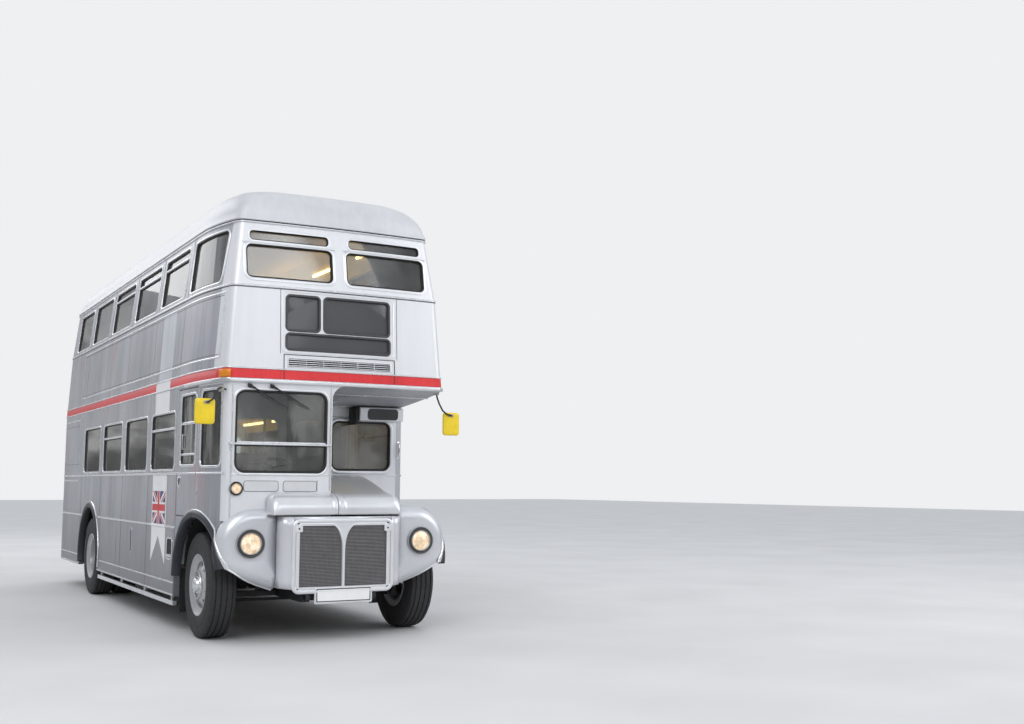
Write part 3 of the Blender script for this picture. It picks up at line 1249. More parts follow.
def disc(kit, place, dish, holes=8):
    """Wheel disc between the hub and the barrel, with oval holes."""
    def depth(r):
        if r > 0.19:
            return dish - 0.012 + 0.02 * math.cos((r - 0.19) / 0.026 * math.pi / 2)
        if r > 0.12:
            return dish + 0.008 + 0.026 * math.sin((0.19 - r) / 0.07 * math.pi / 2)
        return dish + 0.034
    for n in range(holes):
        a0 = 2 * math.pi * n / holes
        span = 2 * math.pi / holes
        outer, inner = [], []
        count = 32
        for i in range(count):
            t = 2 * math.pi * i / count
            c, q = math.cos(t), math.sin(t)
            m = max(abs(c), abs(q))
            outer.append((a0 + span * 0.5 * (1 + c / m), 0.165 + 0.051 * q / m))
            inner.append((a0 + span * 0.5 * (1 + 0.40 * c), 0.182 + 0.021 * q))
        middle = [(o[0] + (i[0] - o[0]) * 0.5, o[1] + (i[1] - o[1]) * 0.5) for o, i in zip(outer, inner)]
        kit.grid([[place @ Vector((r * math.cos(a), r * math.sin(a), depth(r) - sunk)) for a, r in loop]
                  for loop, sunk in ((outer, 0), (middle, 0), (inner, 0), (inner, 0.010))], True)
    kit.lathe([(0.114, dish + 0.034), (0.09, dish + 0.034), (0.0005, dish + 0.034)], place, 48)


def nuts(kit, place, count, radius, z, size=0.013, height=0.018):
    for n in range(count):
        a = 2 * math.pi * (n + 0.5) / count
        centre = Vector((radius * math.cos(a), radius * math.sin(a), z))
        loops = []
        for r, h in ((1, 0), (1, 0.8), (0.85, 1), (0.5, 1), (0.5, 1.5), (0.4, 1.6)):
            loops.append([place @ (centre + Vector((size * r * math.cos(b), size * r * math.sin(b), height * h)))
                          for b in (a + math.pi / 3 * i for i in range(6))])
        kit.grid(loops, True, last=True)


def wheel_set():
    for label, s in SIDES.items():
        # front wheel, with a proud hub
        body = f"{label}_front_wheel"
        place, tyre, rim = wheel(s * 1.012, AXLE_F, s)
        disc(rim, place, 0.07, 10)
        shade = Kit()
        shade.lathe([(0.225, 0.0), (0.13, 0.02)], place, 48)
        shade.piece(f"{label}_front_disc_shade", DARK, body)
        hub, steel = Kit(), Kit()
        hub.lathe([(0.086, 0.104), (0.086, 0.118), (0.082, 0.124), (0.070, 0.126), (0.066, 0.14), (0.062, 0.148),
                   (0.05, 0.158), (0.03, 0.164), (0.0005, 0.166)], place, 48)
        nuts(steel, place, 10, 0.104, 0.104)
        hub.lathe([(0.132, 0.098), (0.134, 0.122), (0.131, 0.128), (0.124, 0.129), (0.121, 0.124), (0.121, 0.100)],
                  place, 64)
        t = tyre.piece(f"{label}_front_tread", TYRE, body, angle=28, slot="tyre")
        r = rim.piece(f"{label}_front_disc", RIM, body, angle=40)
        hub.piece(f"{label}_front_hub", TRIM, body, angle=40)
        steel.piece(f"{label}_front_nuts", NUTS, body, angle=30)
        sip = Kit()
        tread_sipes(sip, place)
        sip.piece(f"{label}_front_sipes", DARK, body, smooth=False)
        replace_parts(t, f"{label}_front_tyre")
        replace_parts(r, f"{label}_front_rim")
        # twin rear wheels, dished inwards
        body = f"{label}_rear_wheels"
        tyres, rims, steel, sip = Kit(), Kit(), Kit(), Kit()
        for shift in (-0.145, 0.145):
            place, tyre, rim = wheel(s * 0.93 + shift, AXLE_R, s)
            for source, target in ((tyre, tyres), (rim, rims)):
                target.add(source.verts, source.faces)
            tread_sipes(sip, place)
        outer = plane((s * (0.93 + 0.145), AXLE_R, WHEEL_R), (0, s, 0), (0, 0, 1))
        disc(rims, outer, -0.085, 10)
        nuts(steel, outer, 10, 0.104, -0.051)
        hub = Kit()
        hub.lathe([(0.092, -0.052), (0.092, 0.02), (0.088, 0.03), (0.078, 0.034), (0.074, 0.04), (0.02, 0.046),
                   (0.0005, 0.046)], outer, 48)
        nuts(hub, outer, 8, 0.062, 0.036, 0.007, 0.006)
        t = tyres.piece(f"{label}_rear_treads", TYRE, body, angle=28, slot="tyre")
        r = rims.piece(f"{label}_rear_discs", RIM, body, angle=40)
        hub.piece(f"{label}_rear_hub", TRIM, body, angle=40)
        steel.piece(f"{label}_rear_nuts", NUTS, body, angle=30)
        sip.piece(f"{label}_rear_sipes", DARK, body, smooth=False)
        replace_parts(t, f"{label}_rear_tyres")
        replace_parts(r, f"{label}_rear_rims")


# Cowl round the radiator: rounded upright corners, lower edge drawn up towards the wings
def cowl():
    y, half, back, r = NOSE + 0.018, 0.612, NOSE + 0.168, 0.085
    left = [Vector((-half, back)), Vector((-half, y + r + 0.01))]
    left += [Vector((-half + r * (1 - math.cos(a)), y + r * (1 - math.sin(a))))
             for a in (math.pi / 2 * i / 10 for i in range(11))]
    left += [Vector((-0.500, y)), Vector((-0.478, y))]
    right = [Vector((-p.x, p.y)) for p in reversed(left[:-2])]
    path = left + [Vector((-0.478 + 0.978 * i / 12, y)) for i in range(1, 13)] + right
    lows = [0.472 + 0.036 * max(abs(p.x) - 0.32, 0) / 0.29 for p in path]
    rows = [[Vector((p.x, p.y, low + (1.160 - low) * k / 8)) for p, low in zip(path, lows)] for k in range(9)]
    n = len(path)
    faces = []
    for k in range(8):
        for i in range(n - 1):
            if -0.479 < path[i].x and path[i + 1].x < 0.501:
                continue
            faces.append((k * n + i, k * n + i + 1, (k + 1) * n + i + 1, (k + 1) * n + i))
    kit = Kit()
    kit.add([p for row in rows for p in row], faces)
    strip = [Vector((x, y, z)) for z in (1.118, 1.160) for x in (-0.479, 0.0, 0.501)]
    kit.add(strip, [(0, 1, 4, 3), (1, 2, 5, 4)])
    skin = thicken(kit.piece("cowl_skin", WING_SILVER, angle=40, slot="silver_paint"), 0.003)
    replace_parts(skin, "front_cowl")


cowl()
NUTS = material("wheel_nuts", (0.35, 0.35, 0.36), 0.4, 0.7)
wheel_set()


# Grille: surround, two mesh panes whose inner top corners sweep up to a split bar
COWL_Y = NOSE + 0.018
GRILLE = (-0.478, 0.500, 0.470, 1.120)
GRILLE_MID = 0.011
SCREW_XS = (-0.433, 0.456)


def pane_outline(s):
    """Outline of one mesh pane: s is -1 for the offside one."""
    x_in, x_out, z0, z1 = GRILLE_MID + s * 0.013, GRILLE_MID + s * 0.455, 0.505, 1.085
    pts = []

    def corner(cx, cz, r, start, stop, steps=8):
        for i in range(steps + 1):
            a = math.radians(start + (stop - start) * i / steps)
            pts.append((cx + s * r * math.cos(a), cz + r * math.sin(a)))

    big = 0.15
    corner(x_out - s * 0.05, z1 - 0.05, 0.05, 0, 90)
    # inner top corner: a long curve down to the bar
    for i in range(17):
        a = math.radians(90 * i / 16)
        pts.append((x_in + s * big * (1 - math.sin(a)) * 0.78, z1 - big * 1.5 * (1 - math.cos(a))))
    corner(x_in + s * 0.012, z0 + 0.012, 0.012, 180, 270, 4)
    corner(x_out - s * 0.05, z0 + 0.05, 0.05, 270, 360)
    return pts


def clip_range(loop, value, axis):
    """Where a straight line at a value crosses the outline."""
    hits = []
    for a, b in zip(loop, loop[1:] + loop[:1]):
        u0, u1, v0, v1 = (a[1], b[1], a[0], b[0]) if axis == "z" else (a[0], b[0], a[1], b[1])
        if (u0 > value) != (u1 > value):
            hits.append(v0 + (v1 - v0) * (value - u0) / (u1 - u0))
    return (min(hits), max(hits)) if len(hits) >= 2 else None


def offset_loop(loop, d):
    out = []
    n = len(loop)
    area = sum(a[0] * b[1] - b[0] * a[1] for a, b in zip(loop, loop[1:] + loop[:1]))
    sign = 1 if area > 0 else -1
    for i, p in enumerate(loop):
        a, b = Vector(loop[i - 1]), Vector(loop[(i + 1) % n])
        t = (b - a).normalized()
        out.append((p[0] + sign * t.y * d, p[1] - sign * t.x * d))
    return out


def grille_detail():
    face = flat_front(COWL_Y)
    surround, mesh, back, plates = Kit(), Kit(), Kit(), Kit()
    g = (GRILLE[0] - 0.012, GRILLE[1] + 0.012, GRILLE[2] - 0.010, GRILLE[3] + 0.012, 0.07)
    frame_on(surround, face, g, [(0.010, -0.002), (0.009, 0.006), (0.003, 0.013), (-0.010, 0.016), (-0.022, 0.013),
                                 (-0.026, 0.006)])
    loops = [pane_outline(-1), pane_outline(1)]
    # pale plate between the frame and the panes, as strips from each pane's edge to the frame's line
    for loop in loops:
        surround.grid([[face(u, v, h) for u, v in offset_loop(loop, d)] for d, h in (
            (-0.003, -0.012), (-0.001, 0.004), (0.004, 0.009), (0.010, 0.009), (0.015, 0.006))], True)
    # the split bar's solid head, and the field round the panes
    halves = [sorted((p for p in loop if abs(p[0] - GRILLE_MID) < 0.135 and p[1] > 0.85), key=lambda p: -p[1])
              for loop in loops]
    surround.grid([[face(*p, 0.0075) for p in pair] for pair in zip(*halves)])
    strip_on(surround, face, [(GRILLE_MID, 0.49), (GRILLE_MID, 0.92)], 0.022, -0.004, 0.012)
    for u0, u1, v0, v1 in ((-0.462, -0.425, 0.50, 1.09), (0.447, 0.484, 0.50, 1.09), (-0.43, 0.45, 1.075, 1.112),
                           (-0.43, 0.45, 0.478, 0.512)):
        plate_on(surround, face, (u0, u1, v0, v1, 0.002), -0.004, 0.0065, 0.001)
    for loop in loops:
        xs = [p[0] for p in loop]
        zs = [p[1] for p in loop]
        rows = 44
        z0, z1 = min(zs) + 0.004, max(zs) - 0.004
        for k in range(rows):
            z = z0 + (z1 - z0) * (k + 0.5) / rows
            span = clip_range(loop, z, "z")
            if span:
                strip_on(mesh, face, [(span[0], z), (span[1], z)], 0.0058, -0.014, -0.005, 5)
        columns = 36
        for k in range(columns):
            x = min(xs) + (max(xs) - min(xs)) * (k + 0.5) / columns
            span = clip_range(loop, x, "x")
            if span:
                strip_on(mesh, face, [(x, span[0]), (x, span[1])], 0.0030, -0.015, -0.0065, 5)
        n = len(loop)
        back.add([face(u, v, -0.02) for u, v in loop], [tuple(range(n))])
    # corner plates with a screw
    for x in SCREW_XS:
        plate_on(plates, face, (x - 0.034, x + 0.034, 1.018, 1.082, 0.008), 0.0, 0.012, 0.002)
    s = surround.piece("grille_surround", FRONT_TRIM, angle=40, slot="aluminium")
    mesh.piece("grille_mesh", MESH, smooth=False)
    back.piece("grille_back", DARK)
    plates.piece("grille_corner_plates", FRONT_SILVER, angle=50)
    dots = Kit()
    for x in SCREW_XS:
        dots.lathe([(0.008, 0.0), (0.008, 0.004), (0.006, 0.006), (0.0005, 0.006)], ahead(face(x, 1.05, 0.012)), 16)
    dots.piece("grille_screws", IRON)
    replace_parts(s, "grille")


grille_detail()

# Number plate, blank white in a pale rounded holder
holder, white = Kit(), Kit()
pf = flat_front(NOSE + 0.014)
plate_on(holder, pf, (-0.274, 0.303, 0.352, 0.512, 0.018), 0.0, 0.008, 0.003)
frame_on(holder, pf, (-0.262, 0.291, 0.364, 0.500, 0.01),
         [(0.006, 0.006), (0.004, 0.0125), (0.0, 0.0137), (-0.006, 0.0125), (-0.009, 0.007)])
plate_on(white, pf, (-0.246, 0.275, 0.380, 0.484, 0.006), 0.007, 0.0112, 0.001)
plate_edge = Kit()
plate_on(plate_edge, pf, (-0.2535, 0.2825, 0.3725, 0.4915, 0.008), 0.007, 0.0100, 0.001)
plate_edge.piece("plate_edge", BLACK)
h = holder.piece("plate_holder", FRONT_TRIM, angle=50)
white.piece("plate_face", PLATE)
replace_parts(h, "number_plate")


# Polygons laid on a panel
def clip_poly(poly, rect):
    """Polygon cut to a rectangle (x0, x1, z0, z1)."""
    x0, x1, z0, z1 = rect
    for axis, value, sign in ((0, x0, 1), (0, x1, -1), (1, z0, 1), (1, z1, -1)):
        out = []
        for p, q in zip(poly, poly[1:] + poly[:1]):
            dp, dq = sign * (p[axis] - value), sign * (q[axis] - value)
            if dp >= 0:
                out.append(p)
            if (dp >= 0) != (dq >= 0):
                s = dp / (dp - dq)
                out.append((p[0] + (q[0] - p[0]) * s, p[1] + (q[1] - p[1]) * s))
        poly = out
        if not poly:
            break
    return poly


def sheet_on(kit, surface, poly, h, thick=0.0008):
    """Thin film with the outline of a polygon."""
    n = len(poly)
    verts = [surface(u, v, h) for u, v in poly] + [surface(u, v, h - thick) for u, v in poly]
    kit.add(verts, [tuple(range(n)), tuple(range(n, 2 * n))[::-1]] +
            [(i, (i + 1) % n, n + (i + 1) % n, n + i) for i in range(n)])


def bar_poly(p, q, width):
    t = Vector((q[0] - p[0], q[1] - p[1])).normalized()
    n = Vector((-t.y, t.x)) * width / 2
    return [(p[0] + n.x, p[1] + n.y), (q[0] + n.x, q[1] + n.y), (q[0] - n.x, q[1] - n.y), (p[0] - n.x, p[1] - n.y)]


# Ribbon with swallow tails and the national flag, on the offside
def ribbon():
    wall = side_wall(-1)
    y0, y1 = RIBBON
    mid = (y0 + y1) / 2
    white = Kit()
    for poly in ([(y0, 1.547), (y1, 1.547), (y1, 0.914), (y0, 0.914)], [(y0, 0.914), (mid, 0.914), (y0, 0.640)],
                 [(mid, 0.914), (y1, 0.914), (y1, 0.640)]):
        sheet_on(white, wall, poly, 0.0010)
    sheet_on(white, wall, [(y0, 2.205), (y1, 2.205), (y1, 2.424), (y0, 2.424)], 0.0010)
    sheet_on(white, wall, [(y0, RED_BAND[0]), (y1, RED_BAND[0]), (y1, RED_BAND[1]), (y0, RED_BAND[1])], 0.0028)
    strip_on(white, wall, [(y0, LOWER_RAIL), (y1, LOWER_RAIL)], 0.0235, 0.0, 0.0116)
    white.piece("side_ribbon", WHITE, smooth=False)
    upper = Kit()
    u0, u1 = FACE + 1.67, FACE + 2.23
    for z0, z1 in ((2.548, 2.63), (2.652, 3.248)):
        sheet_on(upper, wall, [(u0, z0), (u1, z0), (u1, z1), (u0, z1)], 0.0012)
    upper.piece("upper_ribbon", FADED_WHITE, smooth=False)
    # flag: field, crossed diagonals, upright cross
    f0, f1, z0, z1 = y0 + 0.035, y1 - 0.035, 1.040, 1.380
    rect = (f0, f1, z0, z1)
    blue, pale, red = Kit(), Kit(), Kit()
    sheet_on(blue, wall, [(f0, z0), (f1, z0), (f1, z1), (f0, z1)], 0.0018)
    w = z1 - z0
    cx, cz = (f0 + f1) / 2, (z0 + z1) / 2
    corners = ((f0, z0), (f1, z0), (f1, z1), (f0, z1))
    for p in corners:
        far = (cx + (p[0] - cx) * 1.3, cz + (p[1] - cz) * 1.3)
        sheet_on(pale, wall, clip_poly(bar_poly((cx, cz), far, w * 0.2), rect), 0.0026)
        t = Vector((far[0] - cx, far[1] - cz)).normalized()
        n = Vector((-t.y, t.x)) * w * 0.033
        a, b = (cx + n.x, cz + n.y), (far[0] + n.x, far[1] + n.y)
        sheet_on(red, wall, clip_poly(bar_poly(a, b, w * 0.067), rect), 0.0034)
    for width, kit, h in ((w / 3, pale, 0.0042), (w / 5, red, 0.0054)):
        for rise, p, q in ((0.0, (f0, cz), (f1, cz)), (0.0005, (cx, z0), (cx, z1))):
            sheet_on(kit, wall, clip_poly(bar_poly(p, q, width), rect), h + rise, 0.0004)
    blue.piece("flag_field", FLAG_BLUE, smooth=False)
    pale.piece("flag_white", WHITE, smooth=False)
    red.piece("flag_red_bars", FLAG_RED, smooth=False)


FADED_WHITE = aged_silver("faded_ribbon", (0.50, 0.52, 0.56), (0.66, 0.68, 0.72), (0.3, 0.45), 0.3)
ribbon()


# Cab side and door
DOOR = (FACE + 0.625, BULKHEAD - 0.002)


def cab_side_detail():
    pans, rubbers = Kit(), Kit()
    window_frames((pans, rubbers), cab_wall, (FACE + 0.13, FACE + 0.56, 1.625, 2.345, 0.06), 0.007, 0.018)
    trims = Kit()
    strip_on(trims, cab_wall, [(FACE + 0.06, WAIST_RAIL), (DOOR[0] - 0.004, WAIST_RAIL)], 0.020, -0.002, 0.010)
    strip_on(trims, cab_wall, [(FACE + 0.10, 2.395), (DOOR[0], 2.395)], 0.012, -0.002, 0.008)
    strip_on(trims, cab_wall, [(DOOR[0] - 0.012, 1.20), (DOOR[0] - 0.012, 2.39)], 0.012, -0.001, 0.004)
    trims.piece("cab_side_beads", TRIM, angle=50)
    pans.piece("cab_side_pan", TRIM, angle=50, slot="aluminium")
    rubbers.piece("cab_side_rubber", BLACK, angle=50, slot="rubber")
    # door: tall narrow window with a sliding pane, ledge, handle plate and keyhole
    pans, rubbers = Kit(), Kit()
    pane = (DOOR[0] + 0.06, DOOR[1] - 0.09, 1.64, 2.33, 0.05)
    window_frames((pans, rubbers), cab_wall, pane, 0.007, 0.018)
    a, b = pane[0] + 0.008, pane[1] - 0.008
    strip_on(pans, cab_wall, [(a, 2.05), (b, 2.05)], 0.026, -0.020, 0.0)
    strip_on(pans, cab_wall, [(a, 1.745), (b, 1.745)], 0.020, -0.020, -0.002)
    strip_on(pans, cab_wall, [((a + b) / 2 - 0.11, 1.752), ((a + b) / 2 - 0.11, 2.04)], 0.012, -0.020, -0.004)
    strip_on(pans, cab_wall, [(DOOR[0] + 0.012, WAIST_RAIL), (DOOR[1] - 0.012, WAIST_RAIL)], 0.020, -0.002, 0.010)
    # pull inside the sliding pane
    at = b - 0.07
    grip = [cab_wall(at, 1.80, -0.02), *(cab_wall(at, 1.80 + 0.14 * i / 6, 0.001) for i in range(7)),
            cab_wall(at, 1.94, -0.02)]
    pans.tube(grip, 0.005, 10)
    pans.piece("cab_door_pan", TRIM, "cab_door_body", angle=50, slot="aluminium")
    rubbers.piece("cab_door_rubber", BLACK, "cab_door_body", angle=50, slot="rubber")
    catch, dark = Kit(), Kit()
    y = DOOR[1] - 0.085
    frame_on(catch, cab_wall, (y - 0.028, y + 0.028, 1.430, 1.540, 0.026),
             [(0.006, -0.001), (0.005, 0.003), (0.0, 0.004), (-0.005, 0.002), (-0.008, -0.002)])
    plate_on(dark, cab_wall, (y - 0.021, y + 0.021, 1.437, 1.533, 0.02), -0.003, 0.0008, 0.0004)
    catch.tube([cab_wall(y, z, h) for z, h in ((1.524, 0.002), (1.515, 0.012), (1.46, 0.014), (1.447, 0.004))], 0.006,
               12)
    catch.lathe([(0.011, -0.001), (0.011, 0.003), (0.009, 0.0045), (0.0005, 0.0045)],
                plane(cab_wall(y, 1.21), (0, -1, 0), (0, 0, 1)), 20)
    catch.piece("cab_door_catch", CHROME, "cab_door_body", angle=50)
    dark.piece("cab_door_catch_back", DARK, "cab_door_body")


cab_side_detail()


# Filler slot, step recess, framed rear panel and seams on the offside, and the sill rivets of both sides
def offside_detail():
    wall = side_wall(-1)
    slot, rim, lines = Kit(), Kit(), Kit()
    rect = (FACE + 3.285, FACE + 3.345, 0.68, 0.96, 0.03)
    plate_on(slot, wall, rect, -0.003, 0.0012, 0.0005)
    frame_on(rim, wall, rect, [(0.006, -0.001), (0.005, 0.002), (0.0, 0.003), (-0.003, 0.0012)])
    rect = (FACE + 1.40, FACE + 1.625, 0.70, 0.915, 0.05)
    inset = (rect[0] + 0.012, rect[1] - 0.012, rect[2] + 0.012, rect[3] - 0.012, 0.04)
    plate_on(slot, wall, inset, -0.003, 0.0009, 0.0004)
    frame_on(rim, wall, rect, [(0.008, -0.001), (0.007, 0.004), (0.0, 0.006), (-0.008, 0.004), (-0.012, 0.001)])
    strip_on(rim, wall, [(rect[0] + 0.008, 0.735), (rect[1] - 0.008, 0.735)], 0.03, 0.0, 0.010)
    # panel frame behind the last window, and the blind pillar frames
    ring = [(FACE + 6.83, 1.49), (FACE + 8.03, 1.49), (FACE + 8.03, 2.34), (FACE + 6.83, 2.34), (FACE + 6.83, 1.49)]
    for p, q in zip(ring, ring[1:]):
        strip_on(rim, wall, [p, q], 0.020, -0.002, 0.006)
    for z in (1.72, 2.26):
        strip_on(lines, wall, [(FACE + 6.85, z), (FACE + 8.02, z)], 0.004, -0.001, 0.0012)
    for y in (FACE + 1.37, FACE + 4.15, FACE + 5.18):
        strip_on(lines, wall, [(y, 0.50), (y, 1.01)], 0.004, -0.001, 0.0012)
    slot.piece("offside_recesses", DARK)
    rim.piece("offside_rims", TRIM, angle=50)
    lines.piece("offside_lines", IRON)
    # rivets along the mouldings
    for label, s in SIDES.items():
        kit = Kit()
        w = side_wall(s)
        y = BULKHEAD + 0.08
        while y < AXLE_R - 0.62:
            kit.lathe([(0.005, 0.0), (0.0045, 0.0015), (0.0028, 0.0028), (0.0005, 0.0032)],
                      plane(w(y, 0.48, 0.006), (0, s, 0), (0, 0, 1)), 8)
            y += 0.12
        kit.piece(f"{label}_sill_rivets", TRIM, angle=80)


offside_detail()


# Mirrors: pressed yellow backs, glass, clamp and bent arm
OFFSIDE_ARM = ((-1.100, FACE + 0.075, 2.33), (-1.150, FACE + 0.030, 2.342), (-1.185, FACE + 0.010, 2.33),
               (-1.215, FACE - 0.012, 2.28), (-1.245, FACE - 0.022, 2.225), (-1.285, FACE - 0.024, 2.20))
NEARSIDE_ARM = ((1.140, FACE + 0.24, 2.405), (1.150, FACE + 0.232, 2.35), (1.165, FACE + 0.215, 2.29),
                (1.195, FACE + 0.195, 2.22), (1.235, FACE + 0.186, 2.185), (1.285, FACE + 0.186, 2.172))


def mirrors():
    shells, glasses, arms, clamps = Kit(), Kit(), Kit(), Kit()
    x, half_x, half_z = HALF + 0.085, 0.0925, 0.1175
    edge = rounded(-half_x, half_x, -half_z, half_z, 0.03, 6)
    for s, z, y, arm in ((-1, 2.118, FACE + 0.005, OFFSIDE_ARM), (1, 2.085, FACE + 0.215, NEARSIDE_ARM)):
        place = ahead((s * x, y + 0.012, z))
        shells.grid([[place @ Vector((u * (1 - inset / half_x), v * (1 - inset / half_z), depth)) for u, v in edge]
                     for inset, depth in ((0.0, 0.0), (0.0, 0.010), (0.002, 0.015), (0.006, 0.0195), (0.014, 0.0235),
                                          (0.030, 0.026), (0.05, 0.0275))], True, last=True)
        shells.ring(edge, [(u * 0.93, v * 0.945) for u, v in edge], place, 0.001)
        glasses.prism([(u * 0.935, v * 0.95) for u, v in edge], ahead((s * x, y + 0.0125, z)), 0.002)
        arms.tube(arm, 0.0085, 12)
        c = Vector((s * (x - 0.012), y - 0.019, arm[-1][2]))
        clamps.lathe([(0.0, -0.004), (0.016, -0.004), (0.017, 0.006), (0.014, 0.010), (0.009, 0.012), (0.0, 0.012)],
                     ahead((c.x, c.y + 0.006, c.z)), 20)
        clamps.box((c.x - 0.028, c.y - 0.006, c.z - 0.013), (c.x + 0.028, c.y + 0.007, c.z + 0.013), 0.003)
    # bracket of the offside arm
    clamps.box((-1.165, FACE + 0.025, 2.305), (-1.125, FACE + 0.085, 2.362), 0.006)
    clamps.box((1.115, FACE + 0.215, 2.380), (1.165, FACE + 0.265, 2.404), 0.004)
    skin = shells.piece("mirror_backs", YELLOW, angle=50)
    glasses.piece("mirror_glasses", MIRROR, smooth=False)
    arms.piece("mirror_arms", IRON)
    clamps.piece("mirror_clamps", CLAMP, angle=40)
    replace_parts(skin, "mirrors")


CLAMP = material("clamp_grey", (0.32, 0.31, 0.28), 0.45, 0.4)
mirrors()


# Canopy underside, route box, bulkhead window frame and grab handle
def canopy_detail():
    frames, darks = Kit(), Kit()
    face = flat_front(BULKHEAD)
    rect = (0.410, 1.085, 1.610, 2.135, 0.08)
    frame_on(frames, face, rect, [(0.042, -0.002), (0.040, 0.008), (0.032, 0.014), (0.012, 0.014), (0.004, 0.008),
                                  (-0.002, -0.004)])
    frame_on(darks, face, rect, [(0.006, 0.0), (0.004, 0.011), (-0.008, 0.010), (-0.016, 0.0), (-0.018, -0.016)])
    # seam of the panel, ledge under the window
    strip_on(frames, face, [(0.05, 1.560), (1.17, 1.560)], 0.012, -0.002, 0.010)
    strip_on(darks, face, [(0.36, 2.13), (0.36, 1.57)], 0.004, -0.001, 0.001)
    strip_on(darks, face, [(0.05, 2.185), (0.63, 2.185)], 0.004, -0.001, 0.001)
    frames.piece("bulkhead_window_frame", FRONT_TRIM, angle=50)
    darks.piece("bulkhead_window_rubber", BLACK, angle=50)
    # route box: sloping face, rounded rim, dark blank display
    box, rim, blank = Kit(), Kit(), Kit()
    y0, y1 = BULKHEAD - 0.236, BULKHEAD - 0.001
    x0, x1, z0, z1 = 0.642, 1.148, 2.139, 2.288
    section = [(y1, z1), (y0 + 0.045, z1), (y0 + 0.012, z1 - 0.006), (y0 + 0.004, z1 - 0.016), (y0 + 0.016, z0 + 0.012),
               (y0 + 0.022, z0 + 0.003), (y0 + 0.034, z0), (y1, z0)]
    cz = (z0 + z1) / 2
    slices = ((x0, 0.010), (x0 + 0.004, 0.003), (x0 + 0.012, 0), (x1 - 0.012, 0), (x1 - 0.004, 0.003), (x1, 0.010))
    box.grid([[Vector((x, y + (shrink if y < y1 - 0.01 else 0), z + (shrink if z < cz else -shrink)))
               for y, z in section] for x, shrink in slices], True, first=True, last=True)
    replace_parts(box.piece("route_box_case", FRONT_SILVER, angle=35), "destination_boxes")
    case = Kit()
    for left, right, low, high, _ in DISPLAYS:
        case.box((left + 0.001, FACE + 0.064, low + 0.001), (right - 0.001, FACE + 0.091, high - 0.001), 0.004)
    case.piece("display_case", BLIND, angle=40)
    slope = 0.012 / 0.12

    def box_face(u, v, h=0.0):
        return Vector((u, y0 + 0.004 + (z1 - 0.016 - v) * slope - h, v))

    rect = (0.735, 1.075, 2.158, 2.262, 0.03)
    frame_on(rim, box_face, rect, [(0.008, -0.001), (0.007, 0.004), (0.0, 0.006), (-0.005, 0.003), (-0.006, -0.001)])
    plate_on(blank, box_face, rect, -0.002, 0.0025, 0.001)
    rim.piece("route_box_rim", DISPLAY_RIM, angle=50)
    blank.piece("route_box_blank", DARK_BLIND)
    # dark post beside the box and the sloping canopy lining
    post = Kit()
    post.box((0.600, BULKHEAD - 0.20, 2.10), (0.638, BULKHEAD - 0.004, 2.286), 0.006)
    post.piece("route_box_post", BLACK, angle=40)
    lining, ribs = Kit(), Kit()
    ya, yb, za, zb = FACE + 0.085, BULKHEAD - 0.004, 2.404, 2.288

    def lining_at(u, v, h=0.0):
        return Vector((u, v, za + (zb - za) * (v - ya) / (yb - ya) - h))

    cells = [-0.04 + 1.20 * i / 12 for i in range(13)]
    lining.grid([[lining_at(min(x, side_reach(y, 2.40) - 0.012), y, 0.002) for x in cells]
                 for y in (ya + (yb - ya) * j / 6 for j in range(7))])
    strip_on(ribs, lining_at, [(-0.03, ya + 0.42), (1.17, ya + 0.42)], 0.025, 0.0, 0.008)
    strip_on(ribs, lining_at, [(0.30, ya + 0.45), (0.30, yb - 0.02)], 0.02, 0.0, 0.008)
    strip_on(ribs, lining_at, [(-0.03, yb - 0.04), (0.59, yb - 0.04)], 0.05, 0.0, 0.012)
    lining.piece("canopy_lining", CANOPY_GREY, angle=40)
    ribs.piece("canopy_ribs", TRIM, angle=40)
    # stepped flange lip under the band
    lip = Kit()
    path = [p for p in body_path(2.418, -0.002) if p[0].y < BULKHEAD + 0.02]
    lip.sweep(path, [(0.0, 0.0145), (0.0175, 0.0145), (0.019, 0.010), (0.0185, -0.006), (0.016, -0.0135),
                     (0.010, -0.0155), (-0.06, -0.0150), (-0.06, -0.0130), (0.0, -0.0130)])
    # grab handle on the nearside pillar
    x, y = HALF - 0.035, BULKHEAD - 0.002
    grab = Kit()
    grab.tube([(x, y + dy, z) for dy, z in ((0.004, 1.915), (-0.02, 1.912), (-0.034, 1.895), (-0.036, 1.86),
                                            (-0.036, 1.81), (-0.034, 1.78), (-0.02, 1.763), (0.004, 1.76))], 0.009, 12)
    for z in (1.915, 1.76):
        grab.lathe([(0.018, -0.002), (0.018, 0.003), (0.014, 0.005), (0.0005, 0.005)], ahead((x, y, z)), 20)
    grab.piece("pillar_grab_handle", CHROME)
    return lip


DARK_BLIND = material("dark_blind", (0.018, 0.018, 0.02), 0.3, Coat_Weight=0.5)
CANOPY_GREY = aged_silver("canopy_grey", (0.30, 0.31, 0.33), (0.42, 0.43, 0.45), (0.4, 0.6), 0.1)
canopy_detail().piece("canopy_lip", FRONT_TRIM, angle=30)


# Roof: smooth dome over the gutter
ROOF_STEPS = ((0.0, 0.0, 0.0), (0.28, 0.014, 0.04), (0.52, 0.052, 0.09), (0.72, 0.112, 0.13), (0.87, 0.195, 0.15),
              (0.96, 0.310, 0.12), (1.0, 0.480, 0.06))


def smooth_rows(table, cuts):
    """Catmull-Rom rows through a table."""
    rows = []
    for i in range(len(table) - 1):
        p0, p1, p2, p3 = (table[max(0, min(len(table) - 1, i + d))] for d in (-1, 0, 1, 2))
        for c in range(cuts):
            t = c / cuts
            rows.append(tuple(0.5 * (2 * b + (c2 - a) * t + (2 * a - 5 * b + 4 * c2 - d) * t * t +
                                     (3 * b - a - 3 * c2 + d) * t ** 3) for a, b, c2, d in zip(p0, p1, p2, p3)))
    return rows + [table[-1]]


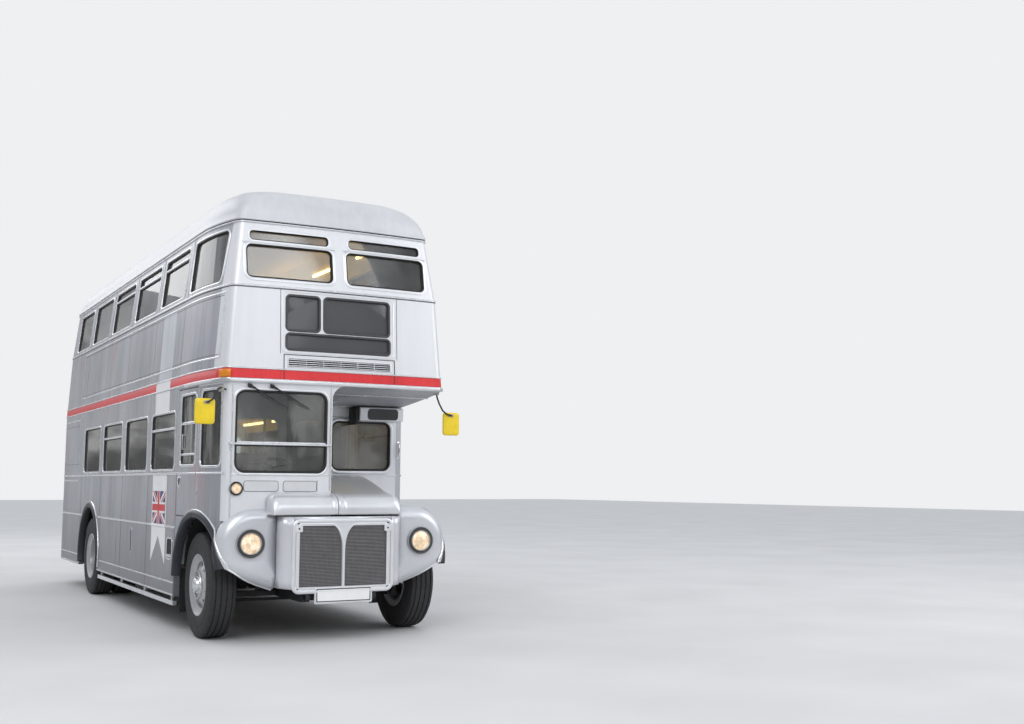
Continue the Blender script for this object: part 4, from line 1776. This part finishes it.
def ray_ring(base, loop, spine):
    """Points of a loop met by rays that go from a spine through each base point."""
    out = []
    n = len(loop)
    for p in base:
        o = Vector((0.0, min(max(p.y, spine[0]), spine[1])))
        d = (p - o).normalized()
        best = None
        for i in range(n):
            a, b = loop[i], loop[(i + 1) % n]
            e = b - a
            det = d.x * -e.y + e.x * d.y
            if abs(det) < 1e-12:
                continue
            w = a - o
            t = (w.x * -e.y + e.x * w.y) / det
            s = (d.x * w.y - d.y * w.x) / det
            if t > 0 and -1e-6 <= s <= 1 + 1e-6 and (best is None or t > best):
                best = t
        out.append(o + d * best)
    return out


def roof_rings(shrink, drop):
    """Rings of the dome, from the gutter to the top."""
    level = level_at(GUTTER)
    spine = (-2.95, 3.05)
    dense_loop = []
    start = outline(GUTTER, 0.0)
    for a, b in zip(start, start[1:] + start[:1]):
        n = max(1, round((b - a).length / 0.22))
        dense_loop += [a + (b - a) * i / n for i in range(n)]
    rings = []
    heights = TOP - 0.012 - drop - GUTTER
    for share, inset, growth in smooth_rows(ROOF_STEPS, 4):
        radius = 0.075 + growth + 0.55 * inset
        grow = -inset - shrink
        loop = outline(GUTTER, grow, radius - grow, radius + 0.06 - grow, level)
        rings.append([Vector((p.x, p.y, GUTTER + heights * share)) for p in ray_ring(dense_loop, loop, spine)])
    last = rings[-1]
    for share, up in ((0.4, 0.006), (0.75, 0.010), (1.0, 0.012)):
        ring = []
        for p in last:
            o = Vector((0.0, min(max(p.y, spine[0] + 0.4), spine[1] - 0.4), 0))
            q = Vector((p.x, p.y, 0)).lerp(o, share)
            ring.append(Vector((q.x, q.y, last[0].z + up)))
        rings.append(ring)
    return dense_loop, rings


def dome(name, shrink, drop, mat, lip):
    base, rings = roof_rings(shrink, drop)
    if lip:
        out = outward(base)
        first = []
        for g, z in ((-0.02, 0.0), (0.006, 0.0), (0.013, 0.003), (0.015, 0.010), (0.013, 0.020), (0.006, 0.030),
                     (0.001, 0.045)):
            first.append([Vector((p.x + d.x * g, p.y + d.y * g, GUTTER + 0.013 + z)) for p, d in out])
        rings = first + [r for r in rings if r[0].z > GUTTER + 0.075]
    kit = Kit()
    kit.grid(rings, True, flip=True)
    return kit.piece(name, mat, angle=60)


roof_skin = dome("roof_dome", 0.0, 0.0, ROOF, True)
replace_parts(roof_skin, "roof")
dome("upper_ceiling", 0.045, 0.04, CREAM, False)


# Linings, ceilings and lit coves
def run_sheet(kit, section, y0, y1, count):
    """Sheet with a section of (x, z) points carried along the bus; the section may be a function of y."""
    rows = []
    for k in range(count + 1):
        y = y0 + (y1 - y0) * k / count
        rows.append([Vector((x, y, z)) for x, z in (section(y) if callable(section) else section)])
    kit.grid(rows)


lining, ceiling, cove, trim_strip = Kit(), Kit(), Kit(), Kit()
INNER = HALF - 0.060
for s in (-1, 1):
    for y0, y1, foot in ((BULKHEAD + 0.03, AXLE_R - 0.60, 0.662), (AXLE_R - 0.60, 2.64, 1.20)):
        run_sheet(lining, [(s * (INNER - 0.004), foot), (s * (INNER - 0.004), 1.50), (s * (INNER - 0.012), 1.545),
                           (s * (INNER - 0.030), 1.562), (s * (INNER - 0.001), 1.568)], y0, y1, 8)
    run_sheet(cove, [(s * (INNER - 0.002), 2.212), (s * (INNER - 0.03), 2.215), (s * (INNER - 0.045), 2.235),
                     (s * (INNER - 0.10), 2.300), (s * (INNER - 0.20), 2.352), (s * (INNER - 0.33), 2.372)],
              BULKHEAD + 0.03, 2.64, 12)
    # upper deck: below and above the windows, following the drawn-in wall
    top = HALF - level_at(3.93)[1] - 0.060

    def wall_section(y, s=s):
        points = [(s * (side_reach(y, z) - (0.064 if z < 3.3 else 0.088)), z)
                  for z in (2.485, 2.8, 3.1, 3.28, 3.325, 3.345)]
        return points + [(s * (side_reach(y, 3.35) - 0.058), 3.35)]

    def cove_section(y, s=s):
        reach = side_reach(y, 3.93) - 0.064
        return [(s * (reach - inset), z) for inset, z in ((0, 3.915), (0.028, 3.917), (0.045, 3.935), (0.12, 4.02),
                                                          (0.23, 4.10), (0.36, 4.165))]

    run_sheet(lining, wall_section, FACE + 0.42, REAR - 0.34, 20)
    run_sheet(cove, cove_section, FACE + 0.42, REAR - 0.34, 20)
    for y0, y1, z, x in ((BULKHEAD + 0.1, 2.6, 2.318, INNER - 0.145), (FACE + 0.60, REAR - 0.5, 4.045, top - 0.175)):
        n = int((y1 - y0) / 1.3)
        for k in range(n):
            a = y0 + (y1 - y0) * (k + 0.15) / n
            b = y0 + (y1 - y0) * (k + 0.85) / n
            trim_strip.tube([(s * x, a, z), (s * x, b, z)], 0.019, 12)
lining.piece("saloon_linings", aged_silver("lining_cloth", (0.12, 0.02, 0.022), (0.17, 0.028, 0.03), (0.5, 0.6), 0.0))
cove.piece("lit_coves", SUNNY)
trim_strip.piece("cove_tubes", material("tube_glow", (1.0, 0.85, 0.5), 0.4, Emission_Color=(1.0, 0.74, 0.32, 1),
                                                    Emission_Strength=4.5))
run_sheet(ceiling, [(-(INNER - 0.32), 2.373), (-0.5, 2.386), (0, 2.390), (0.5, 2.386), (INNER - 0.32, 2.373)],
          BULKHEAD + 0.03, 2.64, 8)
ceiling.piece("lower_ceiling", CREAM)
# wheel arch liners, dark inside
LINER_R = 0.653
for name, s, centre, x_in in (("offside_front", -1, ARCH_F, 0.66), ("nearside_front", 1, ARCH_F, 0.66),
                              ("offside_rear", -1, ARCH_B, 0.62), ("nearside_rear", 1, ARCH_B, 0.62)):
    kit = Kit()
    rows = []
    front = centre is ARCH_F
    x_out = 1.125 if front else HALF - 0.012
    for i in range(33):
        row = []
        for x in (x_in, (x_in + x_out) / 2, x_out):
            # in front the liner ends inside the wing's sloping lower edge
            foot = 0.50 + 0.19 * (x - WING_IN) / 0.536 + 0.045
            low = math.degrees(math.asin((foot - ARCH_F[1]) / LINER_R)) if front else -6
            a = math.radians(low + (186 - low) * i / 32)
            row.append(Vector((s * x, centre[0] - LINER_R * math.cos(a), centre[1] + LINER_R * math.sin(a))))
        rows.append(row)
    kit.grid(rows)
    kit.piece(name + "_arch_liner", UNDERSEAL)


# Seats
def pillow(size, radius, crown, lobes, cuts, pull=0.006, groove=0.010):
    """Closed crowned cushion about the origin, its top along z: lobes are parted by sewn grooves."""
    hx, hy, hz = (v / 2 for v in size)
    nx, ny, nz = cuts
    verts, faces, index = [], [], {}

    def spread(t):
        return math.sin(t * math.pi / 2) * 0.35 + t * 0.65

    def vertex(i, j, k):
        key = (i, j, k)
        if key not in index:
            p = Vector((spread(2 * i / nx - 1) * hx, spread(2 * j / ny - 1) * hy, spread(2 * k / nz - 1) * hz))
            core = Vector([min(max(c, -(h - radius)), h - radius) for c, h in zip(p, (hx, hy, hz))])
            d = p - core
            if d.length > 1e-9:
                p = core + d.normalized() * radius
            u, v = p.x / hx, p.y / hy
            lobe = abs(math.sin(math.pi * lobes * (u + 1) / 2)) ** 0.5 if lobes > 1 else max(1 - u * u, 0.0)
            rise = (0.35 + 0.65 * lobe) * max(1 - v * v, 0.0) ** 0.7 * (1 - abs(u) ** 6)
            top = (p.z / hz + 1) / 2
            p.z += crown * rise * top
            if lobes > 1:
                for m in range(1, lobes):
                    at = -hx + 2 * hx * m / lobes
                    p.z -= groove * math.exp(-((p.x - at) / 0.016) ** 2) * top
            p.x -= pull * u * (1 - v * v) * (1 - (p.z / hz) ** 2 if abs(p.z) < hz else 0)
            p.y -= pull * v * (1 - u * u) * (1 - (p.z / hz) ** 2 if abs(p.z) < hz else 0)
            index[key] = len(verts)
            verts.append(p)
        return index[key]

    for i in range(nx):
        for j in range(ny):
            for k in (0, nz):
                f = [vertex(i, j, k), vertex(i + 1, j, k), vertex(i + 1, j + 1, k), vertex(i, j + 1, k)]
                faces.append(f if k else f[::-1])
    for i in range(nx):
        for k in range(nz):
            for j in (0, ny):
                f = [vertex(i, j, k), vertex(i + 1, j, k), vertex(i + 1, j, k + 1), vertex(i, j, k + 1)]
                faces.append(f[::-1] if j else f)
    for j in range(ny):
        for k in range(nz):
            for i in (0, nx):
                f = [vertex(i, j, k), vertex(i, j + 1, k), vertex(i, j + 1, k + 1), vertex(i, j, k + 1)]
                faces.append(f if i else f[::-1])
    return verts, faces


def cushion(name, centre, shape, turn=None, mat=None):
    verts, faces = shape
    turn = turn or Matrix.Identity(3)
    obj = add_mesh(name, [Vector(centre) + turn @ v for v in verts], faces, mat or MOQUETTE, angle=70)
    return obj


def moquette():
    """Short-pile cloth: a small check in dull red, with mustard and dark green flecks."""
    m = MOQUETTE
    coords = node(m, "ShaderNodeTexCoord")
    weave = node(m, "ShaderNodeTexChecker", Scale=26.0, Color1=(0.30, 0.035, 0.03, 1), Color2=(0.17, 0.02, 0.025, 1))
    link(m, coords.outputs["Object"], weave.inputs["Vector"])
    fleck = node(m, "ShaderNodeTexVoronoi", Scale=55.0)
    link(m, coords.outputs["Object"], fleck.inputs["Vector"])
    gate = node(m, "ShaderNodeMath", operation="LESS_THAN")
    gate.inputs[1].default_value = 0.28
    link(m, fleck.outputs["Distance"], gate.inputs[0])
    color = mixed(m, gate.outputs[0], weave.outputs["Color"], (0.42, 0.27, 0.05))
    link(m, color, shader(m).inputs["Base Color"])
    bump(m, noisy(m, 380, 3), 0.35, 0.0015)
    shader(m).inputs["Sheen Weight"].default_value = 0.4


moquette()
PIPING = material("seat_piping", (0.09, 0.012, 0.014), 0.5)
BACK_TURN = Matrix.Rotation(math.radians(90), 3, "X")
SEAT_FORM = pillow((0.80, 0.385, 0.095), 0.035, 0.016, 2, (28, 12, 4))
BACK_FORM = pillow((0.80, 0.50, 0.045), 0.020, 0.008, 2, (28, 12, 3))
frames, piping, tops = Kit(), Kit(), Kit()


def seat(name, x, y, z):
    cushion(f"{name}_cushion", (x, y + 0.198, z + 0.380), SEAT_FORM)
    cushion(f"{name}_back", (x, y + 0.428, z + 0.640), BACK_FORM, BACK_TURN)
    loop = [(x + u, y + 0.198 + v, z + 0.414) for u, v in rounded(-0.392, 0.392, -0.186, 0.186, 0.03, 4)]
    piping.tube(loop, 0.0045, 6, closed=True)
    loop = [(x + u, y + 0.413, z + 0.640 + v) for u, v in rounded(-0.392, 0.392, -0.242, 0.242, 0.03, 4)]
    piping.tube(loop, 0.0045, 6, closed=True)
    # pressed shell behind the back, tube frame with its grab rail, base and leg
    frames.box((x - 0.405, y + 0.449, z + 0.345), (x + 0.405, y + 0.458, z + 0.895), 0.003)
    frames.box((x - 0.40, y + 0.012, z + 0.318), (x + 0.40, y + 0.39, z + 0.338), 0.005)
    frames.box((x - 0.018, y + 0.08, z), (x + 0.018, y + 0.33, z + 0.32), 0.004)
    top = [(x - 0.405, y + 0.44, z + 0.34), (x - 0.405, y + 0.44, z + 0.86), (x - 0.395, y + 0.44, z + 0.895),
           (x - 0.365, y + 0.44, z + 0.910), (x + 0.365, y + 0.44, z + 0.910), (x + 0.395, y + 0.44, z + 0.895),
           (x + 0.405, y + 0.44, z + 0.86), (x + 0.405, y + 0.44, z + 0.34)]
    tops.tube(top, 0.010, 10)
    side = -1 if x < 0 else 1
    leg = x - side * 0.34
    tops.tube([(leg, y + 0.075, z + 0.002), (leg, y + 0.075, z + 0.32)], 0.011, 10)


LOWER_SEAT_Y, UPPER_SEAT_Y = BULKHEAD + 0.56, FACE + 0.76
LOWER_PITCH, UPPER_PITCH = 0.715, 0.8
for side, s in SIDES.items():
    for row in range(5):
        seat(f"lower_{side}_{row}", s * 0.732, LOWER_SEAT_Y + row * LOWER_PITCH, LOWER_DECK)
    for row in range(7 if s < 0 else 8):
        seat(f"upper_{side}_{row}", s * 0.69, UPPER_SEAT_Y + row * UPPER_PITCH, UPPER_DECK)
    x = s * (0.640 + 1.147) / 2
    y = AXLE_R + 0.005
    bench = pillow((0.495, 1.14, 0.080), 0.032, 0.008, 1, (12, 26, 4))
    cushion(f"bench_{side}_cushion", (x, y, 1.238), bench)
    back = pillow((0.27, 1.14, 0.045), 0.020, 0.008, 1, (10, 26, 3))
    cushion(f"bench_{side}_back", (s * 1.120, y, 1.428), back, Matrix.Rotation(math.radians(-90 * s), 3, "Y"))
    loop = [(x + u, y + v, 1.262) for u, v in rounded(-0.238, 0.238, -0.560, 0.560, 0.03, 4)]
    piping.tube(loop, 0.0045, 6, closed=True)
frames.piece("seat_frames", material("seat_shell", (0.10, 0.03, 0.03), 0.45))
piping.piece("seat_piping", PIPING)
tops.piece("seat_rails", RAIL, slot="rail")
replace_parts(bpy.data.objects["lower_offside_0_cushion"], "lower_seats")
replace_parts(bpy.data.objects["upper_offside_0_cushion"], "upper_seats")

# Driver's seat on its pedestal
DRIVER_Y, DRIVER_BASE = FACE + 0.68, 1.222
driver = cushion("driver_cushion", (-0.56, DRIVER_Y + 0.215, DRIVER_BASE + 0.058),
                 pillow((0.45, 0.42, 0.09), 0.034, 0.014, 1, (16, 14, 4)), None, LEATHER)
cushion("driver_back", (-0.56, DRIVER_Y + 0.463, DRIVER_BASE + 0.32),
        pillow((0.44, 0.47, 0.055), 0.024, 0.010, 1, (16, 14, 3)), BACK_TURN, LEATHER)
pedestal = Kit()
pedestal.box((-0.72, FACE + 0.74, 0.90), (-0.40, FACE + 1.04, DRIVER_BASE - 0.012), 0.008)
pedestal.box((-0.775, FACE + 0.70, DRIVER_BASE - 0.012), (-0.345, FACE + 1.10, DRIVER_BASE + 0.012), 0.006)
pedestal.piece("driver_pedestal", IRON)
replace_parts(driver, "driver_seat")

# Floor slats of both gangways, with the platform's ribs
slats = Kit()
for z, y0, y1 in ((LOWER_DECK, BULKHEAD + 0.06, 2.60), (UPPER_DECK, FACE + 0.35, 2.25)):
    for n in range(19):
        x = -0.27 + 0.03 * n
        slats.box((x - 0.008, y0, z - 0.001), (x + 0.008, y1, z + 0.005), 0.001)
for n in range(24):
    x = -0.50 + 0.068 * n
    slats.box((x - 0.012, 2.74, 0.384), (x + 0.012, REAR - 0.16, 0.390), 0.0015)
slats.piece("floor_slats", aged_silver("floor_slat", (0.20, 0.15, 0.10), (0.32, 0.25, 0.17), (0.5, 0.7), 0.0))

# Cab: instrument panel, levers and pedals
cab = Kit()
cab.box((-0.80, FACE + 0.10, 1.40), (-0.36, FACE + 0.22, 1.505), 0.015)
cab.box((-1.06, FACE + 0.10, 1.30), (-0.12, FACE + 0.17, 1.41), 0.01)
cab.tube([(-0.40, FACE + 0.36, 1.45), (-0.36, FACE + 0.42, 1.52), (-0.34, FACE + 0.44, 1.56)], 0.008, 10)
cab.tube([(-0.22, FACE + 0.62, 0.92), (-0.22, FACE + 0.60, 1.25)], 0.014, 10)
for x in (-0.66, -0.46):
    cab.box((x - 0.04, FACE + 0.18, 1.00), (x + 0.04, FACE + 0.20, 1.12), 0.006)
cab.piece("cab_controls", IRON, angle=40)
dials = Kit()
for x in (-0.70, -0.58, -0.46):
    dials.lathe([(0.045, -0.002), (0.045, 0.006), (0.040, 0.008), (0.038, 0.003), (0.0005, 0.003)],
                plane((x, FACE + 0.2215, 1.452), (-1, 0, 0), (0, 0, 1)), 24)
dials.piece("cab_dials", BEZEL)


# Wipers: pivots under the band, sprung arms and blades
def wipers():
    arms, blades = Kit(), Kit()
    for x in (-0.88, -0.67):
        pivot = cab_front(x, 2.372, 0.010)
        arms.lathe([(0.0005, 0.030), (0.010, 0.030), (0.016, 0.024), (0.019, 0.012), (0.019, -0.010)], ahead(pivot),
                   20)
        tip = Vector((x + 0.33, FACE - 0.006, 2.187))
        start = pivot + Vector((0, -0.018, 0))
        along = (tip - start).normalized()
        across = Vector((along.z, 0, -along.x)).normalized()
        arms.tube([start - along * 0.03, start + along * 0.05], 0.011, 12)
        for side in (-0.004, 0.004):
            arms.tube([start + along * 0.05 + across * side, start + (tip - start) * 0.62 + across * side], 0.0035, 8)
        hold = start + (tip - start) * 0.62
        arms.tube([hold - along * 0.03, hold + along * 0.03], 0.0065, 10)
        back = Vector((0, 0.009, 0))
        blades.tube([hold - along * 0.17 + back, hold - along * 0.09, hold + along * 0.10,
                     hold + along * 0.17 + back], 0.0042, 8)
        w, n = across * 0.003, Vector((0, 0.008, 0))
        blades.grid([[p - w, p + w, p + w * 0.3 + n, p - w * 0.3 + n]
                     for p in (hold + along * end + back * 1.4 for end in (-0.18, 0.18))], True, first=True, last=True)
    skin = arms.piece("wiper_arms", IRON, angle=50)
    blades.piece("wiper_blades", BLACK, angle=40)
    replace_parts(skin, "wipers")


wipers()


# Rear of the bus
def rear_detail():
    pans, rubbers, trims = Kit(), Kit(), Kit()
    window_frames((pans, rubbers), lower_rear, (-0.56, 0.14, 1.48, 2.15, 0.09), 0.009, 0.022)
    for x0, x1 in ((-0.545, -0.02), (0.02, 0.545)):
        rect = (x0, x1, 3.38, 3.83, 0.06)
        frame_on(pans, upper_back, rect, [(0.016, -0.002), (0.013, 0.006), (0.006, 0.008), (-0.004, 0.005),
                                          (-0.008, -0.010)])
        frame_on(rubbers, upper_back, rect, [(-0.006, -0.002), (-0.010, 0.002), (-0.018, -0.004), (-0.020, -0.016)])
    pans.piece("rear_window_pan", TRIM, angle=50)
    rubbers.piece("rear_window_rubber", BLACK, angle=50)
    strip_on(trims, lower_rear, [(-1.06, LOWER_RAIL), (0.14, LOWER_RAIL)], 0.020, -0.002, 0.009)
    strip_on(trims, lower_rear, [(-1.06, WAIST_RAIL), (-0.60, WAIST_RAIL)], 0.020, -0.002, 0.009)
    # reflectors
    for x in (-0.95, -0.05):
        kit = Kit()
        kit.lathe([(0.028, -0.002), (0.028, 0.006), (0.024, 0.010), (0.0005, 0.012)],
                  plane(lower_rear(x, 0.72), (-1, 0, 0), (0, 0, 1)), 24)
        kit.piece(f"rear_reflector_{'offside' if x < -0.5 else 'nearside'}", tail_glow)
    frame_on(trims, lower_rear, (-0.98, -0.12, 1.13, 1.42, 0.01),
             [(0.010, -0.001), (0.009, 0.005), (0.0, 0.006), (-0.004, 0.001)])
    trims.piece("rear_trims", TRIM, angle=50)
    # stepped edge of the platform
    edge = Kit()
    path = [p for p in body_path(0.374, 0.004) if p[0].x > 0.24 and p[0].y > 2.80]
    edge.sweep(path, [(-0.004, -0.020), (0.004, -0.020), (0.007, -0.014), (0.007, 0.010), (0.003, 0.0135),
                      (-0.05, 0.0135), (-0.05, 0.0115)])
    edge.piece("platform_edge", TRIM, angle=50)
    # rail at the head of the stairs
    rail = Kit()
    rail.tube([(x, 2.30, z) for x, z in ((-0.52, 2.49), (-0.52, 3.30), (-0.50, 3.34), (-0.46, 3.36), (0.10, 3.36),
                                         (0.14, 3.34), (0.16, 3.30), (0.16, 2.49))], 0.014, 12)
    rail.piece("stair_head_rail", RAIL)


rear_detail()


# Nearside wing: ribbed tread plates on its top and a small black marker
def wing_treads():
    kit, plates, marker = Kit(), Kit(), Kit()

    def tread_top(u, v, h=0.0):
        return Vector((u, v, 1.2445 + h))

    for y0, y1 in ((-3.62, -3.36), (-3.30, -3.04)):
        plate_on(plates, tread_top, (0.66, 0.86, y0, y1, 0.01), -0.004, 0.003, 0.001)
        for k in range(9):
            x = 0.675 + (0.845 - 0.675) * k / 8
            strip_on(kit, tread_top, [(x, y0 + 0.012), (x, y1 - 0.012)], 0.007, 0.002, 0.0065)
    plates.piece("wing_tread_plates", TRIM)
    kit.piece("wing_tread_ribs", TRIM)
    marker.box((1.02, -3.60, 1.195), (1.06, -3.54, 1.225), 0.006)
    marker.tube([(1.04, -3.57, 1.15), (1.04, -3.57, 1.20)], 0.008, 10)
    marker.piece("wing_marker", BLACK, angle=40)


wing_treads()


# Flare of the nearside wing out to its arch moulding
def wing_flare():
    upper = [p for p in wing_outline() if p.y > 0.75]

    def outline_x(z):
        for p, q in zip(upper, upper[1:]):
            if p.y <= z <= q.y:
                return p.x + (q.x - p.x) * (z - p.y) / max(q.y - p.y, 1e-6)
        return upper[0].x if z < upper[0].y else upper[-1].x

    kit = Kit()
    rows = []
    for i in range(33):
        a = math.radians(24 + 80 * i / 32)
        y, z = ARCH_F[0] - ARCH_R * math.cos(a), ARCH_F[1] + ARCH_R * math.sin(a)
        x0 = outline_x(z) - 0.012
        x1 = nearside_front_surface(y, z).x + 0.004
        row = []
        for j in range(7):
            t = j / 6
            r = ARCH_R + 0.004 + 0.026 * t * t
            row.append(Vector((x0 + (x1 - x0) * t, ARCH_F[0] - r * math.cos(a), ARCH_F[1] + r * math.sin(a))))
        rows.append(row)
    kit.grid(rows, flip=True)
    thicken(kit.piece("nearside_wing_flare", WING_SILVER, angle=60), 0.003)


wing_flare()


# Finishes of the CAD pieces that stay as they are
paint(SILVER, "offside_lower_wall", "nearside_lower_wall", "rear_lower_wall", "offside_upper_wall",
      "nearside_upper_wall", "upper_rear", "cab_side", "cab_door")
paint(FRONT_SILVER, "upper_front", "cab_front", "emergency_window")
paint(WING_SILVER, "front_wings", "front_cowl", "nose_panel", "bonnet")
paint(ROOF, "roof")
paint(GLASS, "saloon_glass", "cab_glass", "cab_door_glass", "emergency_glass")
paint(BLIND, "destination_boxes")
paint(FRONT_SILVER, "bulkheads")
paint(IRON, "cab_floor", "steering_column", "fuel_tank", "subframes", "rear_axle", "offside_knuckle",
      "nearside_knuckle", "track_rod", "engine")
paint(FLOOR, "lower_floor", "rear_platform", "staircase")
paint(CANOPY_GREY, "upper_floor")
paint(MOQUETTE, "lower_seats", "upper_seats", "driver_seat")
paint(BLACK, "wipers", "steering_wheel", "mudflaps")
paint(RAIL, "handrails")
paint(TRIM, "guard_rails", "grille")
paint(CHROME, "lamps")
paint(YELLOW, "mirrors")
paint(TYRE, "offside_front_tyre", "nearside_front_tyre", "offside_rear_tyres", "nearside_rear_tyres")
paint(RIM, "offside_front_rim", "nearside_front_rim", "offside_rear_rims", "nearside_rear_rims")
paint(PLATE, "number_plate")


# Stage, light and camera
CLOUD = (0.1916, -0.9077, 0.3732)


def sky_color(world):
    """Overcast sky with patches, bare branches along the horizon and one bright cloud ahead of the bus."""
    ray = node(world, "ShaderNodeTexCoord").outputs["Generated"]
    split = node(world, "ShaderNodeSeparateXYZ")
    link(world, ray, split.inputs["Vector"])
    height = scaled(world, split.outputs["Z"], 0.5, 0.5)
    shade = ramp(world, height, ((0.47, (0.34, 0.34, 0.35)), (0.505, (0.20, 0.205, 0.215)), (0.53, (0.26, 0.27, 0.28)),
                                 (0.60, (0.66, 0.69, 0.74)), (0.80, (0.88, 0.91, 0.96))))
    patches = node(world, "ShaderNodeTexNoise", Scale=7.0, Detail=6.0)
    link(world, ray, patches.inputs["Vector"])
    blend = node(world, "ShaderNodeVectorMath", operation="SCALE")
    link(world, shade, blend.inputs[0])
    link(world, remap(world, patches.outputs["Fac"], 0.36, 0.62, 0.45, 1.5), blend.inputs["Scale"])
    twigs = node(world, "ShaderNodeTexNoise", Scale=13.0, Detail=9.0, Roughness=0.72)
    link(world, ray, twigs.inputs["Vector"])
    wood = remap(world, twigs.outputs["Fac"], 0.47, 0.57, 0.16, 1.2)
    belt = ramp(world, height, ((0.462, (0, 0, 0)), (0.475, (0.62, 0.62, 0.62)), (0.565, (0.8, 0.8, 0.8)),
                                (0.60, (0, 0, 0))))
    color = mixed(world, belt, blend.outputs["Vector"], wood)
    toward = node(world, "ShaderNodeVectorMath", operation="DOT_PRODUCT")
    toward.inputs[1].default_value = CLOUD
    link(world, ray, toward.inputs[0])
    return mixed(world, remap(world, toward.outputs["Value"], 0.9825, 0.9865), color, (3.0, 3.08, 3.2))


def stage():
    scene = bpy.context.scene
    scene.view_settings.view_transform = "Standard"
    ground = Kit()
    ground.box((-60, -40, -0.02), (60, 90, 0.0))
    floor = add_mesh("studio_floor", ground.verts, ground.faces, pale_floor(), None, False)
    world = bpy.data.worlds.new("studio")
    scene.world = world
    world.use_nodes = True
    world.node_tree.nodes.clear()
    sky = node(world, "ShaderNodeBackground", Strength=0.9)
    link(world, sky_color(world), sky.inputs["Color"])
    wall = node(world, "ShaderNodeBackground", Color=(0.86, 0.87, 0.88, 1), Strength=1.0)
    seen = node(world, "ShaderNodeLightPath").outputs["Is Camera Ray"]
    out = node(world, "ShaderNodeOutputWorld")
    link(world, mixed_shader(world, seen, sky.outputs["Background"], wall.outputs["Background"]),
         out.inputs["Surface"])
    lamp("key", (-9, -16, 13), (0, -1, 1.8), 9, 980)
    lamp("fill", (14, -12, 9), (0, -1, 2.2), 10, 650)
    lamp("back", (-6, 16, 12), (0, 2, 2.4), 10, 560)


def pale_floor():
    m = material("pale_floor", (0.66, 0.66, 0.66), 0.8)
    color = ramp(m, noisy(m, 0.6, 3, 0.5), ((0.3, (0.62, 0.62, 0.62)), (0.7, (0.68, 0.68, 0.68))))
    link(m, color, shader(m).inputs["Base Color"])
    return m


def lamp(name, place, aim, size, power):
    data = bpy.data.lights.new(name, "AREA")
    data.size, data.energy = size, power
    obj = bpy.data.objects.new(name, data)
    obj.location = place
    obj.rotation_euler = (Vector(aim) - Vector(place)).to_track_quat("-Z", "Y").to_euler()
    bpy.context.scene.collection.objects.link(obj)


def camera():
    yaw, pitch, roll = (math.radians(a) for a in (29.5199, 5.8992, 0.2998))
    forward = Vector((math.sin(yaw) * math.cos(pitch), math.cos(yaw) * math.cos(pitch), math.sin(pitch)))
    right = Vector((math.cos(yaw), -math.sin(yaw), 0))
    up = right.cross(forward)
    right, up = (math.cos(roll) * right + math.sin(roll) * up, -math.sin(roll) * right + math.cos(roll) * up)
    data = bpy.data.cameras.new("photo_camera")
    data.lens, data.sensor_width = 41.677, 36
    data.clip_end = 300
    obj = bpy.data.objects.new("photo_camera", data)
    turn = Matrix((right, up, -forward)).transposed().to_4x4()
    turn.translation = Vector((-4.183, -14.780, 1.468))
    obj.matrix_world = turn
    bpy.context.scene.collection.objects.link(obj)
    bpy.context.scene.camera = obj


# Wear on every finish that is still one even colour: noise scale, change of tone, change of gloss, bump depth
GRAIN = {"moquette": (90, 0.22, 0.10, 0.0012), "seat": (90, 0.2, 0.08, 0.001), "rubber": (40, 0.18, 0.12, 0.0008),
         "trim": (5, 0.05, 0.05, 0.0), "chrome": (5, 0.04, 0.04, 0.0), "bezel": (9, 0.05, 0.04, 0.0),
         "blind": (4, 0.08, 0.04, 0.0), "mirror_glass": (5, 0.02, 0.01, 0.0), "white": (6, 0.05, 0.06, 0.0),
         "display": (20, 0.10, 0.05, 0.0), "plate": (6, 0.04, 0.05, 0.0), "flag": (8, 0.12, 0.08, 0.0),
         "iron": (22, 0.25, 0.15, 0.0012), "floor": (30, 0.25, 0.10, 0.0010), "underseal": (26, 0.3, 0.10, 0.003),
         "ceiling": (5, 0.06, 0.08, 0.0004)}


def wear():
    for m in list(bpy.data.materials):
        if not m.use_nodes:
            continue
        for n in [n for n in m.node_tree.nodes if n.type == "BSDF_PRINCIPLED"]:
            base, rough = n.inputs["Base Color"], n.inputs["Roughness"]
            if base.is_linked:
                continue
            scale, tone, gloss, depth = next((v for k, v in GRAIN.items() if k in m.name), (12, 0.10, 0.10, 0.0004))
            color, level = base.default_value[:3], rough.default_value
            worn = ramp(m, noisy(m, scale, 5, 0.62), ((0.32, tuple(c * (1 - tone) for c in color)),
                                                      (0.68, tuple(min(c * (1 + tone * 0.6), 0.9) for c in color))))
            link(m, worn, base)
            link(m, remap(m, noisy(m, scale * 0.6, 4, 0.6), 0.3, 0.7, max(level - gloss * 0.5, 0.02),
                          min(level + gloss, 1.0)), rough)
            if depth and not n.inputs["Normal"].is_linked:
                bump(m, noisy(m, scale * 3, 3, 0.6), 0.3, depth)
        for n in [n for n in m.node_tree.nodes if n.type == "BSDF_GLOSSY"]:
            link(m, remap(m, noisy(m, 3.5, 6, 0.7), 0.0, 1.0, 0.004, 0.06), n.inputs["Roughness"])


wear()
stage()
camera()
